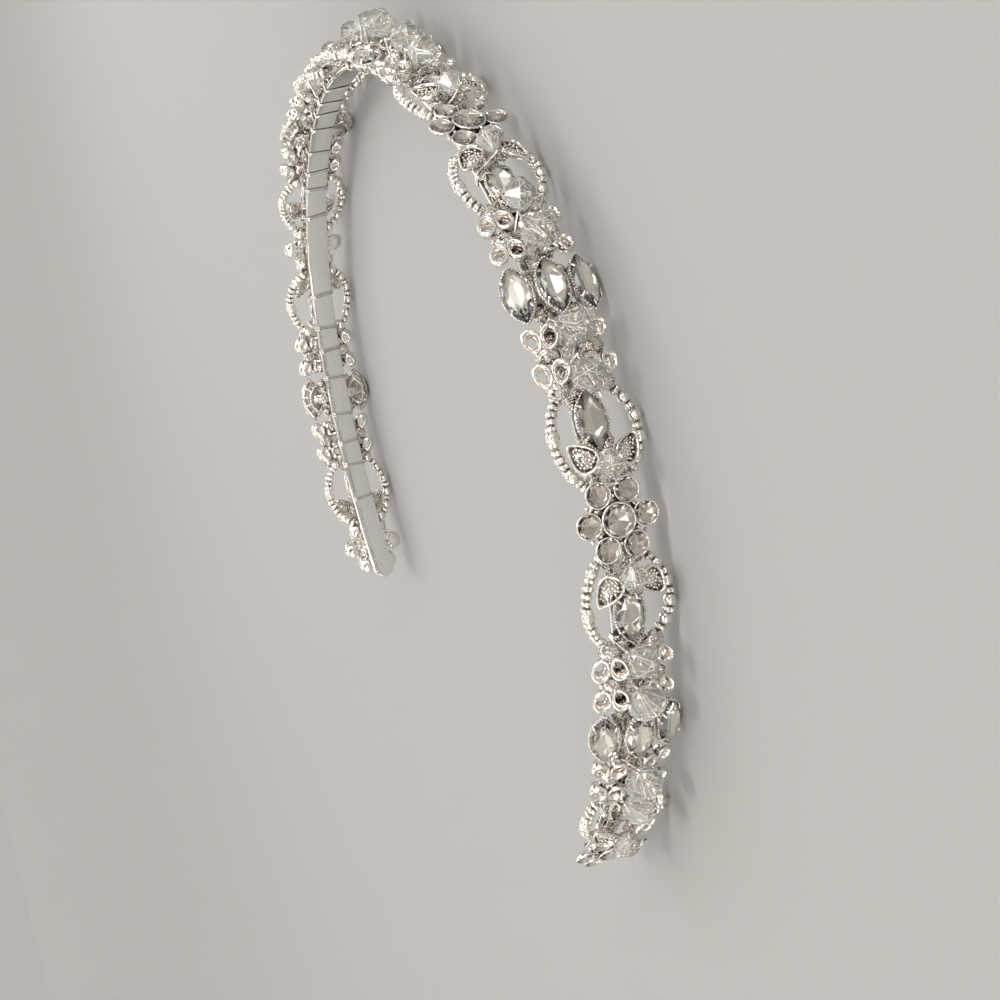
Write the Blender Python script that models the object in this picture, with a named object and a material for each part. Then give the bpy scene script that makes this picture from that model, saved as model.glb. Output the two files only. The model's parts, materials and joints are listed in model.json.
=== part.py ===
"""Crystal headband: a sprung flat band with wired-on cast settings, cut stones and bead chains.

Units are metres and +Z is up. The headband lies on its side, crown towards +Y, and the
origin is the middle of its footprint. Places on it are given as (along, across, out):
along the band from the crown, across its width, and out from its outer face.
"""
import math

import bmesh
import bpy
from mathutils import Matrix, Vector

# Driving dimensions of the band
GROUP_PITCH = 0.0370        # from one large group of stones to the next, along the band
GROUPS_PER_SIDE = 5         # groups on each side of the crown
TIP_LENGTH = 0.0095         # bare tongue past the middle of the last flower
TIP_ROUND = 0.0026          # length of the tongue's rounded end
BAND_WIDTH = 0.0050
BAND_THICKNESS = 0.0010
CROWN_FLAT = 0.0080         # straight stretch at the crown
SIDE_RADIUS = 0.0700        # tightest bend, above the ears
BAND_SEGMENT = 0.0080       # longest flat stretch in the bent metal

# Driving dimensions of the stones and settings
CLEARANCE = 0.0003          # between pieces that are not soldered
NAVETTE_LENGTH = 0.0100
NAVETTE_WIDTH = 0.0050
NAVETTE_HEIGHT = 0.0024     # culet to table
FLOWER_STONE = 0.0054       # middle stone of a six-petal flower
PETAL_STONE = 0.0040
PETALS = 6
CUP_WALL = 0.00035
CLAW_CUP_WALL = 0.00048     # rim of a claw cup, wide enough for the claws to stand on
CLAW_RADIUS = 0.00036
CLAW_TIP = 0.00024
CLAW_HEIGHT = 0.0016
CLAW_RISE = 0.0001          # middle of a claw above the stone's girdle
RAIL_WIDTH = 0.0028         # base rail that a setting is cast on
RAIL_THICKNESS = 0.0006
CROSS_BAR_WIDTH = 0.0022    # bar under a trio that carries its three cups
TREFOIL_RADIUS = 0.0029     # small open three-petal flower
TREFOIL_THICKNESS = 0.0006
PETAL_SPREAD = math.radians(26)
LEAF_LENGTH = 0.0052
LEAF_WIDTH = 0.0036
LEAF_THICKNESS = 0.0009
STEM_RADIUS = 0.00040       # stems from the rail to leaves and small flowers
LARGE_CRYSTAL = 0.0066      # diameter of the crystal next to a trio
LARGE_CRYSTAL_LENGTH = 0.0068
SMALL_CRYSTAL = 0.0060      # diameter of the crystal next to a chain oval
SMALL_CRYSTAL_LENGTH = 0.0060
LEAF_CRYSTAL = 0.0048       # diameter of the crystal between two leaves
LEAF_CRYSTAL_LENGTH = 0.0052
BEAD_HOLE = 0.0006          # radius of a crystal bead's flat ends
WIRE_RADIUS = 0.00022
CHAIN_DIAMETER = 0.00145
CHAIN_REACH = 0.0072        # bead chain's furthest place from the band's middle line

# Heights above the band's outer face
TRIO_SIDE_HEIGHT = 0.0031   # girdle of the outer navettes of a trio
TRIO_MID_HEIGHT = 0.0044    # girdle of its middle navette
TRIO_SPACING = 0.0058
TRIO_LEAN = math.radians(20)
LOOP_NAVETTE_HEIGHT = 0.0022
FLOWER_HEIGHT = 0.0037      # rim of a flower's middle cup
PETAL_HEIGHT = 0.0032
PETAL_CUP_DEPTH = 0.0010
LARGE_CRYSTAL_HEIGHT = 0.0070
SMALL_CRYSTAL_HEIGHT = 0.0064
LEAF_CRYSTAL_HEIGHT = 0.0059
TREFOIL_HEIGHT = 0.0028
TREFOIL_LEAN = math.radians(15)
LEAF_HEIGHT = 0.0040
LEAF_LEAN = math.radians(16)
CHAIN_END_HEIGHT = 0.0009
CHAIN_MID_HEIGHT = 0.0023

# Bend of the band: share of the half length, radius as a share of SIDE_RADIUS
BEND = ((0.00, 1.31), (0.17, 1.29), (0.34, 1.23), (0.51, 1.00), (0.68, 1.00), (0.85, 1.22), (1.00, 1.39))

# Between a trio and the next flower, as shares of GROUP_PITCH from the trio
TREFOIL_PLACES = (0.242, 0.397)
NAVETTE_PLACE = 0.584
LARGE_CRYSTAL_PLACE = 0.222
SMALL_CRYSTAL_PLACE = 0.418
STRING_FOOT_PLACE = 0.385   # where the small crystal stands on the rail
CHAIN_PLACE = 0.638         # middle of the oval that the chains follow
CHAIN_SPAN = 0.232          # half length of that oval
CHAIN_START, CHAIN_END = math.radians(35), math.radians(150)
TRIO_RAIL_END = 0.400
FLOWER_RAIL_END = 0.550

# How far the crystals' axes are turned from the band's direction, for each trio and side of it
# columns: trio number, direction, large crystal, small crystal, in degrees
CRYSTAL_TURNS = ((0, 1, 60, 40), (2, -1, 28, 75), (2, 1, 60, 15), (4, -1, 27, 50), (4, 1, 20, 50))

# Along the band, from the middle of a flower
LEAF_FROM_FLOWER = 0.0103
LEAF_CRYSTAL_FROM_FLOWER = 0.0086

# Across the band, from its middle line
TREFOIL_ACROSS = 0.0045
LEAF_ACROSS = 0.0039
LEAF_TURN = math.radians(142)
STEM_MEETS_FLOWER = 0.42    # share of the small flower's radius, towards the band
STEM_MEETS_LEAF = 0.35      # share of the leaf's width, towards the band

# Profile of a cut marquise: share of the outline, share of the height from the girdle
NAVETTE_CUT = ((0.30, -0.54), (1.00, 0.00), (1.00, 0.07), (0.60, 0.46))
TABLE_SHARE, TABLE_RISE = NAVETTE_CUT[-1]
SEATED_GIRDLE = 0.96        # share of the outline that shows above a rim that the stone is soldered to

# Profile of a round stone in its cup: share of the rim, and the table's rise as a share of the stone
CUP_FOOT = 0.60
ROUND_TABLE = 0.50
ROUND_TABLE_RISE = 0.16

# Hollow of a claw cup: share of the rim at its foot, of the stone at its floor and of its height down there
CLAW_CUP_FOOT = 0.62
CLAW_CUP_FLOOR = 0.50
CLAW_CUP_DEPTH = 0.80
SEAT_LAP = 0.06e-3          # width of the seat's inner edge under the girdle

# Leaf: shares of its length and width around its outline, then of the outline below and inside its rim
LEAF_OUTLINE = ((-0.46, 0.0), (-0.18, 0.47), (0.20, 0.44), (0.54, 0.0), (0.20, -0.44), (-0.18, -0.47))
LEAF_BACK = 0.80
LEAF_FIELD = 0.60

# Opening in a small flower's petal: shares of the flower's radius, and of the petal's spread
SLOT_INNER, SLOT_OUTER = 0.28, 0.72
SLOT_SPREAD = 0.77

# Rounded tongue: shares of TIP_ROUND, and the least share of the band's width at its end
TIP_SHARES = (0.45, 0.80, 1.00)
TIP_END_WIDTH = 0.25

HUB_REACH = 0.0044          # plate under a flower that its petal cups are cast on
HUB_THICKNESS = 0.0006
ROUND_SIDES = 8
SMALL_ROUND_SIDES = 6
NAVETTE_STEPS = 4           # chords on each side of a navette's outline
CHAIN_STEPS = 7
STEM_SIDES = 3
ARC_STEP = 0.0005

HALF_LENGTH = GROUPS_PER_SIDE * GROUP_PITCH + TIP_LENGTH
LASHING_GAP = 0.0004        # between the band and the rails that are wired on to it
RAIL_LOW = LASHING_GAP
RAIL_TOP = RAIL_LOW + RAIL_THICKNESS
RAIL_CORE = RAIL_LOW + RAIL_THICKNESS / 2
SINK = RAIL_THICKNESS / 3   # how far a cast cup's foot reaches into its rail


def bend_radius(along):
    """Radius of the band's bend at a place, from the table above."""
    share = abs(along) / HALF_LENGTH
    for (start, first), (end, last) in zip(BEND, BEND[1:]):
        if share <= end:
            return SIDE_RADIUS * (first + (last - first) * (share - start) / (end - start))
    return SIDE_RADIUS * BEND[-1][1]


def walk_band():
    """Places and headings along one side of the crown, a short step apart."""
    stations = [(0.0, 0.0, 0.0)]
    x = y = heading = 0.0
    for step in range(int(HALF_LENGTH / ARC_STEP) + 2):
        along = (step + 0.5) * ARC_STEP
        turn = 0.0 if along < CROWN_FLAT / 2 else ARC_STEP / bend_radius(along)
        x += ARC_STEP * math.cos(heading + turn / 2)
        y -= ARC_STEP * math.sin(heading + turn / 2)
        heading += turn
        stations.append((x, y, heading))
    return stations


STATIONS = walk_band()


def band_frame(along):
    """Matrix whose X runs along the band, Y across it and Z out of its outer face."""
    place = min(abs(along) / ARC_STEP, len(STATIONS) - 1.001)
    index, part = int(place), place - int(place)
    x, y, heading = (a + (b - a) * part for a, b in zip(STATIONS[index], STATIONS[index + 1]))
    if along < 0:
        x, heading = -x, -heading
    forward = Vector((math.cos(heading), -math.sin(heading), 0))
    across = Vector((0, 0, -1))
    outward = Vector((math.sin(heading), math.cos(heading), 0))
    frame = Matrix((forward, across, outward)).transposed().to_4x4()
    frame.translation = Vector((x, y, 0))
    return frame


def spot(along, across=0.0, out=0.0, lean=0.0, turn=0.0):
    """Frame of a piece on the band; it leans towards the edge it is near and turns about its height."""
    tilt = Matrix.Rotation(-math.copysign(lean, across), 4, "X")
    return band_frame(along) @ Matrix.Translation((0, across, out)) @ tilt @ Matrix.Rotation(turn, 4, "Z")


def point(along, across, out):
    """World place of a point on the band."""
    return band_frame(along) @ Vector((0, across, out))


def fresh_collection(name, parent):
    collection = bpy.data.collections.new(name)
    parent.children.link(collection)
    return collection


def clear_scene():
    for thing in list(bpy.data.objects):
        bpy.data.objects.remove(thing, do_unlink=True)


clear_scene()
PARTS = fresh_collection("crystal_headband", bpy.context.scene.collection)
BITS = fresh_collection("bits_to_solder", bpy.context.scene.collection)


def finish_material(name, color, metallic, roughness):
    material = bpy.data.materials.new(name)
    material.use_nodes = True
    shader = material.node_tree.nodes["Principled BSDF"]
    shader.inputs["Base Color"].default_value = (*color, 1.0)
    shader.inputs["Metallic"].default_value = metallic
    shader.inputs["Roughness"].default_value = roughness
    return material


SILVER = finish_material("bright_silver_plate", (0.86, 0.85, 0.83), 1.0, 0.16)
GLASS = finish_material("clear_cut_glass", (0.90, 0.91, 0.92), 0.0, 0.04)


def add_part(name, mesh, frame, material):
    """One named piece of the headband."""
    piece = bpy.data.objects.new(name, mesh)
    piece.matrix_world = frame
    if not mesh.materials:
        mesh.materials.append(material)
    PARTS.objects.link(piece)
    return piece


def add_bit(mesh, frame):
    """A shape that is about to be soldered into a piece."""
    bit = bpy.data.objects.new("bit", mesh)
    bit.matrix_world = frame
    bit.hide_render = True
    bit.display_type = "WIRE"
    BITS.objects.link(bit)
    return bit


def loft(sections):
    """Closed body through rings of the same number of points, with flat ends."""
    shape = bmesh.new()
    rings = [[shape.verts.new(place) for place in section] for section in sections]
    for lower, upper in zip(rings, rings[1:]):
        for i in range(len(lower)):
            j = (i + 1) % len(lower)
            shape.faces.new((lower[i], lower[j], upper[j], upper[i]))
    shape.faces.new(reversed(rings[0]))
    shape.faces.new(rings[-1])
    bmesh.ops.recalc_face_normals(shape, faces=shape.faces)
    mesh = bpy.data.meshes.new("loft")
    shape.to_mesh(mesh)
    shape.free()
    return mesh


def round_outline(radius, sides=ROUND_SIDES):
    """Regular outline whose flats lie at the radius."""
    turn = 2 * math.pi / sides
    radius /= math.cos(turn / 2)
    angles = [(i + 0.5) * turn for i in range(sides)]
    return [(radius * math.cos(angle), radius * math.sin(angle)) for angle in angles]


def navette_outline(length, width):
    """Pointed oval made of two arcs, from tip to tip and back."""
    half, rise = length / 2, width / 2
    radius = (half ** 2 + rise ** 2) / (2 * rise)
    reach = math.asin(half / radius)
    angles = [reach * (1 - 2 * i / NAVETTE_STEPS) for i in range(NAVETTE_STEPS)]
    upper = [(radius * math.sin(a), radius * math.cos(a) - radius + rise) for a in angles]
    return upper + [(-x, -y) for x, y in upper]


def level(outline, scale, height):
    """A ring of the outline at some height."""
    return [(x * scale, y * scale, height) for x, y in outline]


def cut_navette():
    """Marquise stone with a table, a belt of crown facets and a pavilion; its girdle is at height 0."""
    outline = navette_outline(NAVETTE_LENGTH, NAVETTE_WIDTH)
    return loft([level(outline, share, rise * NAVETTE_HEIGHT) for share, rise in NAVETTE_CUT])


def navette_cup(depth):
    """Open claw cup for a marquise; the stone's girdle comes to height 0."""
    def grown(amount):
        return navette_outline(NAVETTE_LENGTH + 2 * amount, NAVETTE_WIDTH + 2 * amount)
    seat, floor = -CLEARANCE, -CLAW_CUP_DEPTH * NAVETTE_HEIGHT
    rim = grown(CLAW_CUP_WALL)
    return loft([level(rim, CLAW_CUP_FOOT, -depth), level(rim, 1.0, seat),
                 level(grown(-SEAT_LAP), 1.0, seat), level(grown(0), CLAW_CUP_FLOOR, floor)])


def claw():
    """Three-sided claw that stands on the cup's rim, its flat side just clear of a girdle at X 0."""
    shape = bmesh.new()
    bmesh.ops.create_cone(shape, cap_ends=True, segments=3, radius1=CLAW_RADIUS, radius2=CLAW_TIP,
                          depth=CLAW_HEIGHT)
    bmesh.ops.translate(shape, verts=shape.verts, vec=(CLEARANCE + CLAW_RADIUS / 2, 0, CLAW_RISE))
    mesh = bpy.data.meshes.new("claw")
    shape.to_mesh(mesh)
    shape.free()
    return mesh


def claw_spots(frame):
    """Frames of the four claws around a marquise."""
    outline = navette_outline(NAVETTE_LENGTH, NAVETTE_WIDTH)
    for i in (1, NAVETTE_STEPS - 1):
        x, y = outline[i]
        for side in (-1, 1):
            facing = side * math.atan2(abs(y) * NAVETTE_LENGTH, x * NAVETTE_WIDTH)
            yield frame @ Matrix.Translation((x, side * abs(y), 0)) @ Matrix.Rotation(facing, 4, "Z")


def navette_in_cup(depth):
    """Marquise soldered into its cup as one body, for the stones inside the bead chains."""
    stone = navette_outline(NAVETTE_LENGTH, NAVETTE_WIDTH)
    rim = navette_outline(NAVETTE_LENGTH + 2 * CLAW_CUP_WALL, NAVETTE_WIDTH + 2 * CLAW_CUP_WALL)
    return loft([level(rim, CLAW_CUP_FOOT, -depth), level(rim, 1.0, 0.0), level(stone, SEATED_GIRDLE, 0.0),
                 level(stone, TABLE_SHARE, TABLE_RISE * NAVETTE_HEIGHT)])


def round_in_cup(diameter, depth):
    """Round stone in its cup, as one body; the rim is at height 0 and the table above it."""
    rim = round_outline(diameter / 2 + CUP_WALL / 2)
    return loft([level(rim, CUP_FOOT, -depth), level(rim, 1.0, 0.0),
                 level(rim, ROUND_TABLE, ROUND_TABLE_RISE * diameter)])


def crystal(diameter, length, sides=ROUND_SIDES):
    """Faceted crystal bead, widest at its middle; its axis is X."""
    hole, girdle = round_outline(BEAD_HOLE, sides), round_outline(diameter / 2, sides)
    rings = ((hole, -length / 2), (girdle, 0.0), (hole, length / 2))
    return loft([[(place, y, z) for y, z in ring] for ring, place in rings])


def rod(start, end, radius):
    """Thin stem between two world places."""
    way = end - start
    shape = bmesh.new()
    bmesh.ops.create_cone(shape, cap_ends=True, segments=STEM_SIDES, radius1=radius, radius2=radius,
                          depth=way.length)
    mesh = bpy.data.meshes.new("rod")
    shape.to_mesh(mesh)
    shape.free()
    frame = way.to_track_quat("Z", "Y").to_matrix().to_4x4()
    frame.translation = (start + end) / 2
    return add_bit(mesh, frame)


def flat_bent(start, end, half_width, low, high):
    """Flat strip bent along the band, between two places on it."""
    count = max(1, math.ceil((end - start) / BAND_SEGMENT))
    corners = ((-1, low), (1, low), (1, high), (-1, high))
    sections = []
    for i in range(count + 1):
        along = start + (end - start) * i / count
        sections.append([point(along, side * half_width, out) for side, out in corners])
    return add_bit(loft(sections), Matrix.Identity(4))


def curve_mesh(splines, bevel=0.0, resolution=0, extrude=0.0, closed=False):
    """Mesh of a curve: a tube through each list of points, or a flat outline with its holes."""
    curve = bpy.data.curves.new("curve", "CURVE")
    curve.dimensions = "2D" if closed else "3D"
    curve.fill_mode = "BOTH" if closed else "FULL"
    curve.bevel_depth, curve.bevel_resolution, curve.extrude = bevel, resolution, extrude
    curve.use_fill_caps = not closed
    for points in splines:
        spline = curve.splines.new("POLY")
        spline.points.add(len(points) - 1)
        for knot, place in zip(spline.points, points):
            knot.co = (*place, 1.0)
        spline.use_cyclic_u = closed
    holder = bpy.data.objects.new("curve", curve)
    BITS.objects.link(holder)
    depsgraph = bpy.context.evaluated_depsgraph_get()
    mesh = bpy.data.meshes.new_from_object(holder.evaluated_get(depsgraph))
    bpy.data.objects.remove(holder)
    shape = bmesh.new()
    shape.from_mesh(mesh)
    bmesh.ops.remove_doubles(shape, verts=shape.verts, dist=0.00001)
    bmesh.ops.recalc_face_normals(shape, faces=shape.faces)
    shape.to_mesh(mesh)
    shape.free()
    return mesh


def polar(share, angle):
    """Place in a trefoil's plane, as a share of its radius and an angle."""
    return (share * TREFOIL_RADIUS * math.cos(angle), share * TREFOIL_RADIUS * math.sin(angle), 0)


def trefoil_mesh():
    """Small flower of three petals: a closed one along X and two open ones."""
    outer, holes = [], []
    for petal in range(3):
        middle = petal * 2 * math.pi / 3
        outer += [polar(1.0, middle + side * PETAL_SPREAD) for side in (-1, 1)]
        if petal:
            spread = SLOT_SPREAD * PETAL_SPREAD
            holes.append([polar(SLOT_INNER, middle), polar(SLOT_OUTER, middle + spread),
                          polar(SLOT_OUTER, middle - spread)])
    return curve_mesh([outer] + holes, extrude=TREFOIL_THICKNESS / 2, closed=True)


def leaf_mesh():
    """Pointed leaf with a raised rim around a sunk field; its tip points along X."""
    outline = [(x * LEAF_LENGTH, y * LEAF_WIDTH) for x, y in LEAF_OUTLINE]
    top, field = LEAF_THICKNESS / 2, LEAF_THICKNESS / 2 - CUP_WALL
    return loft([level(outline, LEAF_BACK, -top), level(outline, 1.0, top),
                 level(outline, LEAF_FIELD, field)])


def solder(name, bits, home, material):
    """Fuse overlapping bits into one closed body, kept in the frame called home."""
    body, others = bits[0], fresh_collection(name + "_bits", BITS)
    for bit in bits[1:]:
        BITS.objects.unlink(bit)
        others.objects.link(bit)
    union = body.modifiers.new("solder", "BOOLEAN")
    union.operation, union.operand_type, union.collection = "UNION", "COLLECTION", others
    depsgraph = bpy.context.evaluated_depsgraph_get()
    mesh = bpy.data.meshes.new_from_object(body.evaluated_get(depsgraph))
    mesh.transform(home.inverted() @ body.matrix_world)
    mesh.materials.clear()
    for bit in bits:
        bpy.data.objects.remove(bit)
    bpy.data.collections.remove(others)
    shape = bmesh.new()
    shape.from_mesh(mesh)
    bmesh.ops.remove_doubles(shape, verts=shape.verts, dist=0.000003)
    bmesh.ops.dissolve_degenerate(shape, edges=shape.edges, dist=0.000002)
    shape.to_mesh(mesh)
    shape.free()
    return add_part(name, mesh, home, material)


def make_band():
    """Flat sprung band with rounded tongues, straight for a short way at the crown."""
    flat_end = CROWN_FLAT / 2
    reach = HALF_LENGTH - TIP_ROUND - flat_end
    count = math.ceil(reach / BAND_SEGMENT)
    one_side = [(flat_end + reach * i / count, 1.0) for i in range(count + 1)]
    for share in TIP_SHARES:
        narrowing = max(TIP_END_WIDTH, math.sqrt(1 - share ** 2))
        one_side.append((HALF_LENGTH - TIP_ROUND * (1 - share), narrowing))
    stations = [(-along, width) for along, width in reversed(one_side)] + one_side
    half = BAND_WIDTH / 2
    corners = ((-1, -BAND_THICKNESS), (1, -BAND_THICKNESS), (1, 0.0), (-1, 0.0))
    sections = []
    for along, width in stations:
        sections.append([point(along, side * half * width, out) for side, out in corners])
    add_part("band", loft(sections), Matrix.Identity(4), SILVER)


def stem_to(along, across, out, side):
    """Stem from the edge of a rail out to the underside of a leaf or a small flower."""
    root = point(along, side * RAIL_WIDTH / 3, RAIL_CORE)
    return rod(root, point(along, side * across, out), STEM_RADIUS)


def trefoils(middle, way):
    """Two pairs of small open flowers on one side of a trio."""
    bits = []
    inner = TREFOIL_ACROSS - STEM_MEETS_FLOWER * TREFOIL_RADIUS
    for place in TREFOIL_PLACES:
        along = middle + way * place * GROUP_PITCH
        for side in (-1, 1):
            turn = 0.0 if way > 0 else math.pi
            frame = spot(along, side * TREFOIL_ACROSS, TREFOIL_HEIGHT, TREFOIL_LEAN, turn)
            bits.append(add_bit(trefoil_mesh(), frame))
            lift = (TREFOIL_ACROSS - inner) * math.sin(TREFOIL_LEAN)
            bits.append(stem_to(along - way * STEM_RADIUS, inner, TREFOIL_HEIGHT + lift, side))
    return bits


def make_trio(name, middle):
    """Three marquises side by side in claw cups, with small open flowers before and after them."""
    reach = TRIO_RAIL_END * GROUP_PITCH
    bits = [flat_bent(middle - reach, middle + reach, RAIL_WIDTH / 2, RAIL_LOW, RAIL_TOP)]
    bar = CROSS_BAR_WIDTH / 2
    span = TRIO_SPACING - TRIO_SIDE_HEIGHT * math.sin(TRIO_LEAN) + bar
    corners = [(-bar, -span), (bar, -span), (bar, span), (-bar, span)]
    cross = loft([[(x, y, out) for x, y in corners] for out in (RAIL_LOW, RAIL_TOP + CLEARANCE)])
    bits.append(add_bit(cross, band_frame(middle)))
    for index, side in enumerate((-1, 0, 1)):
        girdle = TRIO_SIDE_HEIGHT if side else TRIO_MID_HEIGHT
        lean = TRIO_LEAN if side else 0.0
        frame = spot(middle, side * TRIO_SPACING, girdle, lean)
        depth = (girdle - RAIL_TOP) / math.cos(lean) + SINK
        bits.append(add_bit(navette_cup(depth), frame))
        bits += [add_bit(claw(), place) for place in claw_spots(frame)]
        add_part(f"{name}_stone_{index + 1}", NAVETTE, frame, GLASS)
    bits += trefoils(middle, 1) + trefoils(middle, -1)
    solder(name, bits, band_frame(middle), SILVER)


def loop_side(middle, way):
    """What a flower carries on one side: a leaf pair, a small crystal and the marquise in the loop."""
    bits = []
    trio = middle - way * GROUP_PITCH
    navette = spot(trio + way * NAVETTE_PLACE * GROUP_PITCH, 0.0, LOOP_NAVETTE_HEIGHT)
    bits.append(add_bit(navette_in_cup(LOOP_NAVETTE_HEIGHT - RAIL_TOP + SINK), navette))
    leaf = middle - way * LEAF_FROM_FLOWER
    inner = LEAF_ACROSS - STEM_MEETS_LEAF * LEAF_WIDTH
    for side in (-1, 1):
        turn = side * LEAF_TURN if way > 0 else side * (math.pi - LEAF_TURN)
        frame = spot(leaf, side * LEAF_ACROSS, LEAF_HEIGHT, LEAF_LEAN, turn)
        bits.append(add_bit(leaf_mesh(), frame))
        bits.append(stem_to(leaf + way * LEAF_LENGTH / 4, inner, LEAF_HEIGHT, side))
    bead = middle - way * LEAF_CRYSTAL_FROM_FLOWER
    bits.append(add_bit(crystal(LEAF_CRYSTAL, LEAF_CRYSTAL_LENGTH, SMALL_ROUND_SIDES),
                        spot(bead, 0.0, LEAF_CRYSTAL_HEIGHT)))
    bits.append(rod(point(bead, 0.0, RAIL_CORE), point(bead, 0.0, LEAF_CRYSTAL_HEIGHT), STEM_RADIUS))
    return bits


def make_flower(name, middle):
    """Flower of six round petals around a larger stone, with a leaf pair towards each trio."""
    ways = [way for way in (1, -1) if abs(middle - way * GROUP_PITCH) < HALF_LENGTH]
    rail = FLOWER_RAIL_END * GROUP_PITCH
    petal_ring = (FLOWER_STONE + PETAL_STONE + CUP_WALL) / 2
    ends = {1: middle + petal_ring, -1: middle - petal_ring}
    for way in ways:
        ends[-way] = middle - way * rail
    bits = [flat_bent(ends[-1], ends[1], RAIL_WIDTH / 2, RAIL_LOW, RAIL_TOP)]
    cup = round_in_cup(FLOWER_STONE, FLOWER_HEIGHT - RAIL_TOP + SINK)
    bits.append(add_bit(cup, spot(middle, 0.0, FLOWER_HEIGHT)))
    hub = round_outline(HUB_REACH, PETALS)
    hub_top = PETAL_HEIGHT - PETAL_CUP_DEPTH + HUB_THICKNESS / 3
    plate = loft([level(hub, 1.0, hub_top - HUB_THICKNESS), level(hub, 1.0, hub_top)])
    bits.append(add_bit(plate, spot(middle, turn=math.pi / PETALS)))
    for petal in range(PETALS):
        angle = 2 * math.pi * (petal + 1.5) / PETALS
        place = spot(middle + petal_ring * math.cos(angle), petal_ring * math.sin(angle), PETAL_HEIGHT)
        bits.append(add_bit(round_in_cup(PETAL_STONE, PETAL_CUP_DEPTH), place))
    for way in ways:
        bits += loop_side(middle, way)
    solder(name, bits, band_frame(middle), SILVER)


def make_chains(name, trio, way):
    """The two bead chains that bow out around one marquise."""
    for label, side in (("upper", -1), ("lower", 1)):
        route = []
        for i in range(CHAIN_STEPS):
            angle = CHAIN_START + (CHAIN_END - CHAIN_START) * i / (CHAIN_STEPS - 1)
            along = trio + way * GROUP_PITCH * (CHAIN_PLACE - CHAIN_SPAN * math.cos(angle))
            rise = CHAIN_END_HEIGHT + (CHAIN_MID_HEIGHT - CHAIN_END_HEIGHT) * math.sin(angle) ** 2
            route.append(point(along, side * CHAIN_REACH * math.sin(angle), rise))
        tube = curve_mesh([route], bevel=CHAIN_DIAMETER / 2, resolution=1)
        add_part(f"{name}_{label}", tube, Matrix.Identity(4), SILVER)


def crystal_turns(number, way):
    """Turns of the two crystals beside a trio; the headband's two halves mirror each other."""
    mirror = -1 if number < 0 or (number == 0 and way < 0) else 1
    for trio, direction, large, small in CRYSTAL_TURNS:
        if (trio, direction) == (number * mirror, way * mirror):
            return mirror * math.radians(large), mirror * math.radians(small)
    return 0.0, 0.0


def make_string(name, number, way):
    """Two crystal beads on a wire that is turned down to the rail under each of them."""
    trio = number * GROUP_PITCH
    large_turn, small_turn = crystal_turns(number, way)
    large = trio + way * LARGE_CRYSTAL_PLACE * GROUP_PITCH
    small = trio + way * SMALL_CRYSTAL_PLACE * GROUP_PITCH
    foot = trio + way * STRING_FOOT_PLACE * GROUP_PITCH
    bits = [add_bit(crystal(LARGE_CRYSTAL, LARGE_CRYSTAL_LENGTH),
                    spot(large, 0.0, LARGE_CRYSTAL_HEIGHT, turn=large_turn)),
            add_bit(crystal(SMALL_CRYSTAL, SMALL_CRYSTAL_LENGTH, SMALL_ROUND_SIDES),
                    spot(small, 0.0, SMALL_CRYSTAL_HEIGHT, turn=small_turn))]
    low = RAIL_TOP + CLEARANCE
    for place, height in ((large, LARGE_CRYSTAL_HEIGHT), (foot, SMALL_CRYSTAL_HEIGHT)):
        bits.append(rod(point(place, 0.0, low), point(place, 0.0, height + BEAD_HOLE), WIRE_RADIUS))
    bits.append(rod(point(large, 0.0, LARGE_CRYSTAL_HEIGHT), point(small, 0.0, SMALL_CRYSTAL_HEIGHT),
                    WIRE_RADIUS))
    solder(name, bits, band_frame(trio), GLASS)


def rest_on_floor():
    """Move every piece together, so that the footprint's middle is the origin and the lowest point is 0."""
    bpy.context.view_layer.update()
    corners = [piece.matrix_world @ vertex.co for piece in PARTS.objects for vertex in piece.data.vertices]
    low = Vector([min(corner[axis] for corner in corners) for axis in range(3)])
    high = Vector([max(corner[axis] for corner in corners) for axis in range(3)])
    shift = Vector((-(low.x + high.x) / 2, -(low.y + high.y) / 2, -low.z))
    holder = bpy.data.objects.new("headband_rest", None)
    PARTS.objects.link(holder)
    for piece in PARTS.objects:
        if piece is not holder:
            piece.parent = holder
    holder.location = shift
    print("shift", [round(value, 6) for value in shift], "size", [round(value, 5) for value in high - low])


NAVETTE = cut_navette()
make_band()
for number in range(-GROUPS_PER_SIDE, GROUPS_PER_SIDE + 1):
    side_name = "crown" if number == 0 else f"{'right' if number > 0 else 'left'}_{abs(number)}"
    if number % 2 == 0:
        make_trio(f"trio_{side_name}", number * GROUP_PITCH)
        for direction in (-1, 1):
            if abs(number + direction) <= GROUPS_PER_SIDE:
                label = f"{side_name}_{'a' if direction < 0 else 'b'}"
                make_chains(f"chain_{label}", number * GROUP_PITCH, direction)
                make_string(f"crystals_{label}", number, direction)
    else:
        make_flower(f"flower_{side_name}", number * GROUP_PITCH)
rest_on_floor()
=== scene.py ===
# %% [markdown]
# # A silver headband with cut stones, crystals and bead chains
# The real piece is a sprung steel strip with cast settings wired on to it. Everything sits at a
# place along the strip, so this lesson first rebuilds the strip's bend, then makes each kind of
# setting once, and lets Geometry Nodes seat the copies.

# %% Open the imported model
import json
import math
import random

import bmesh
import bpy
from mathutils import Matrix, Vector, noise

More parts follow.
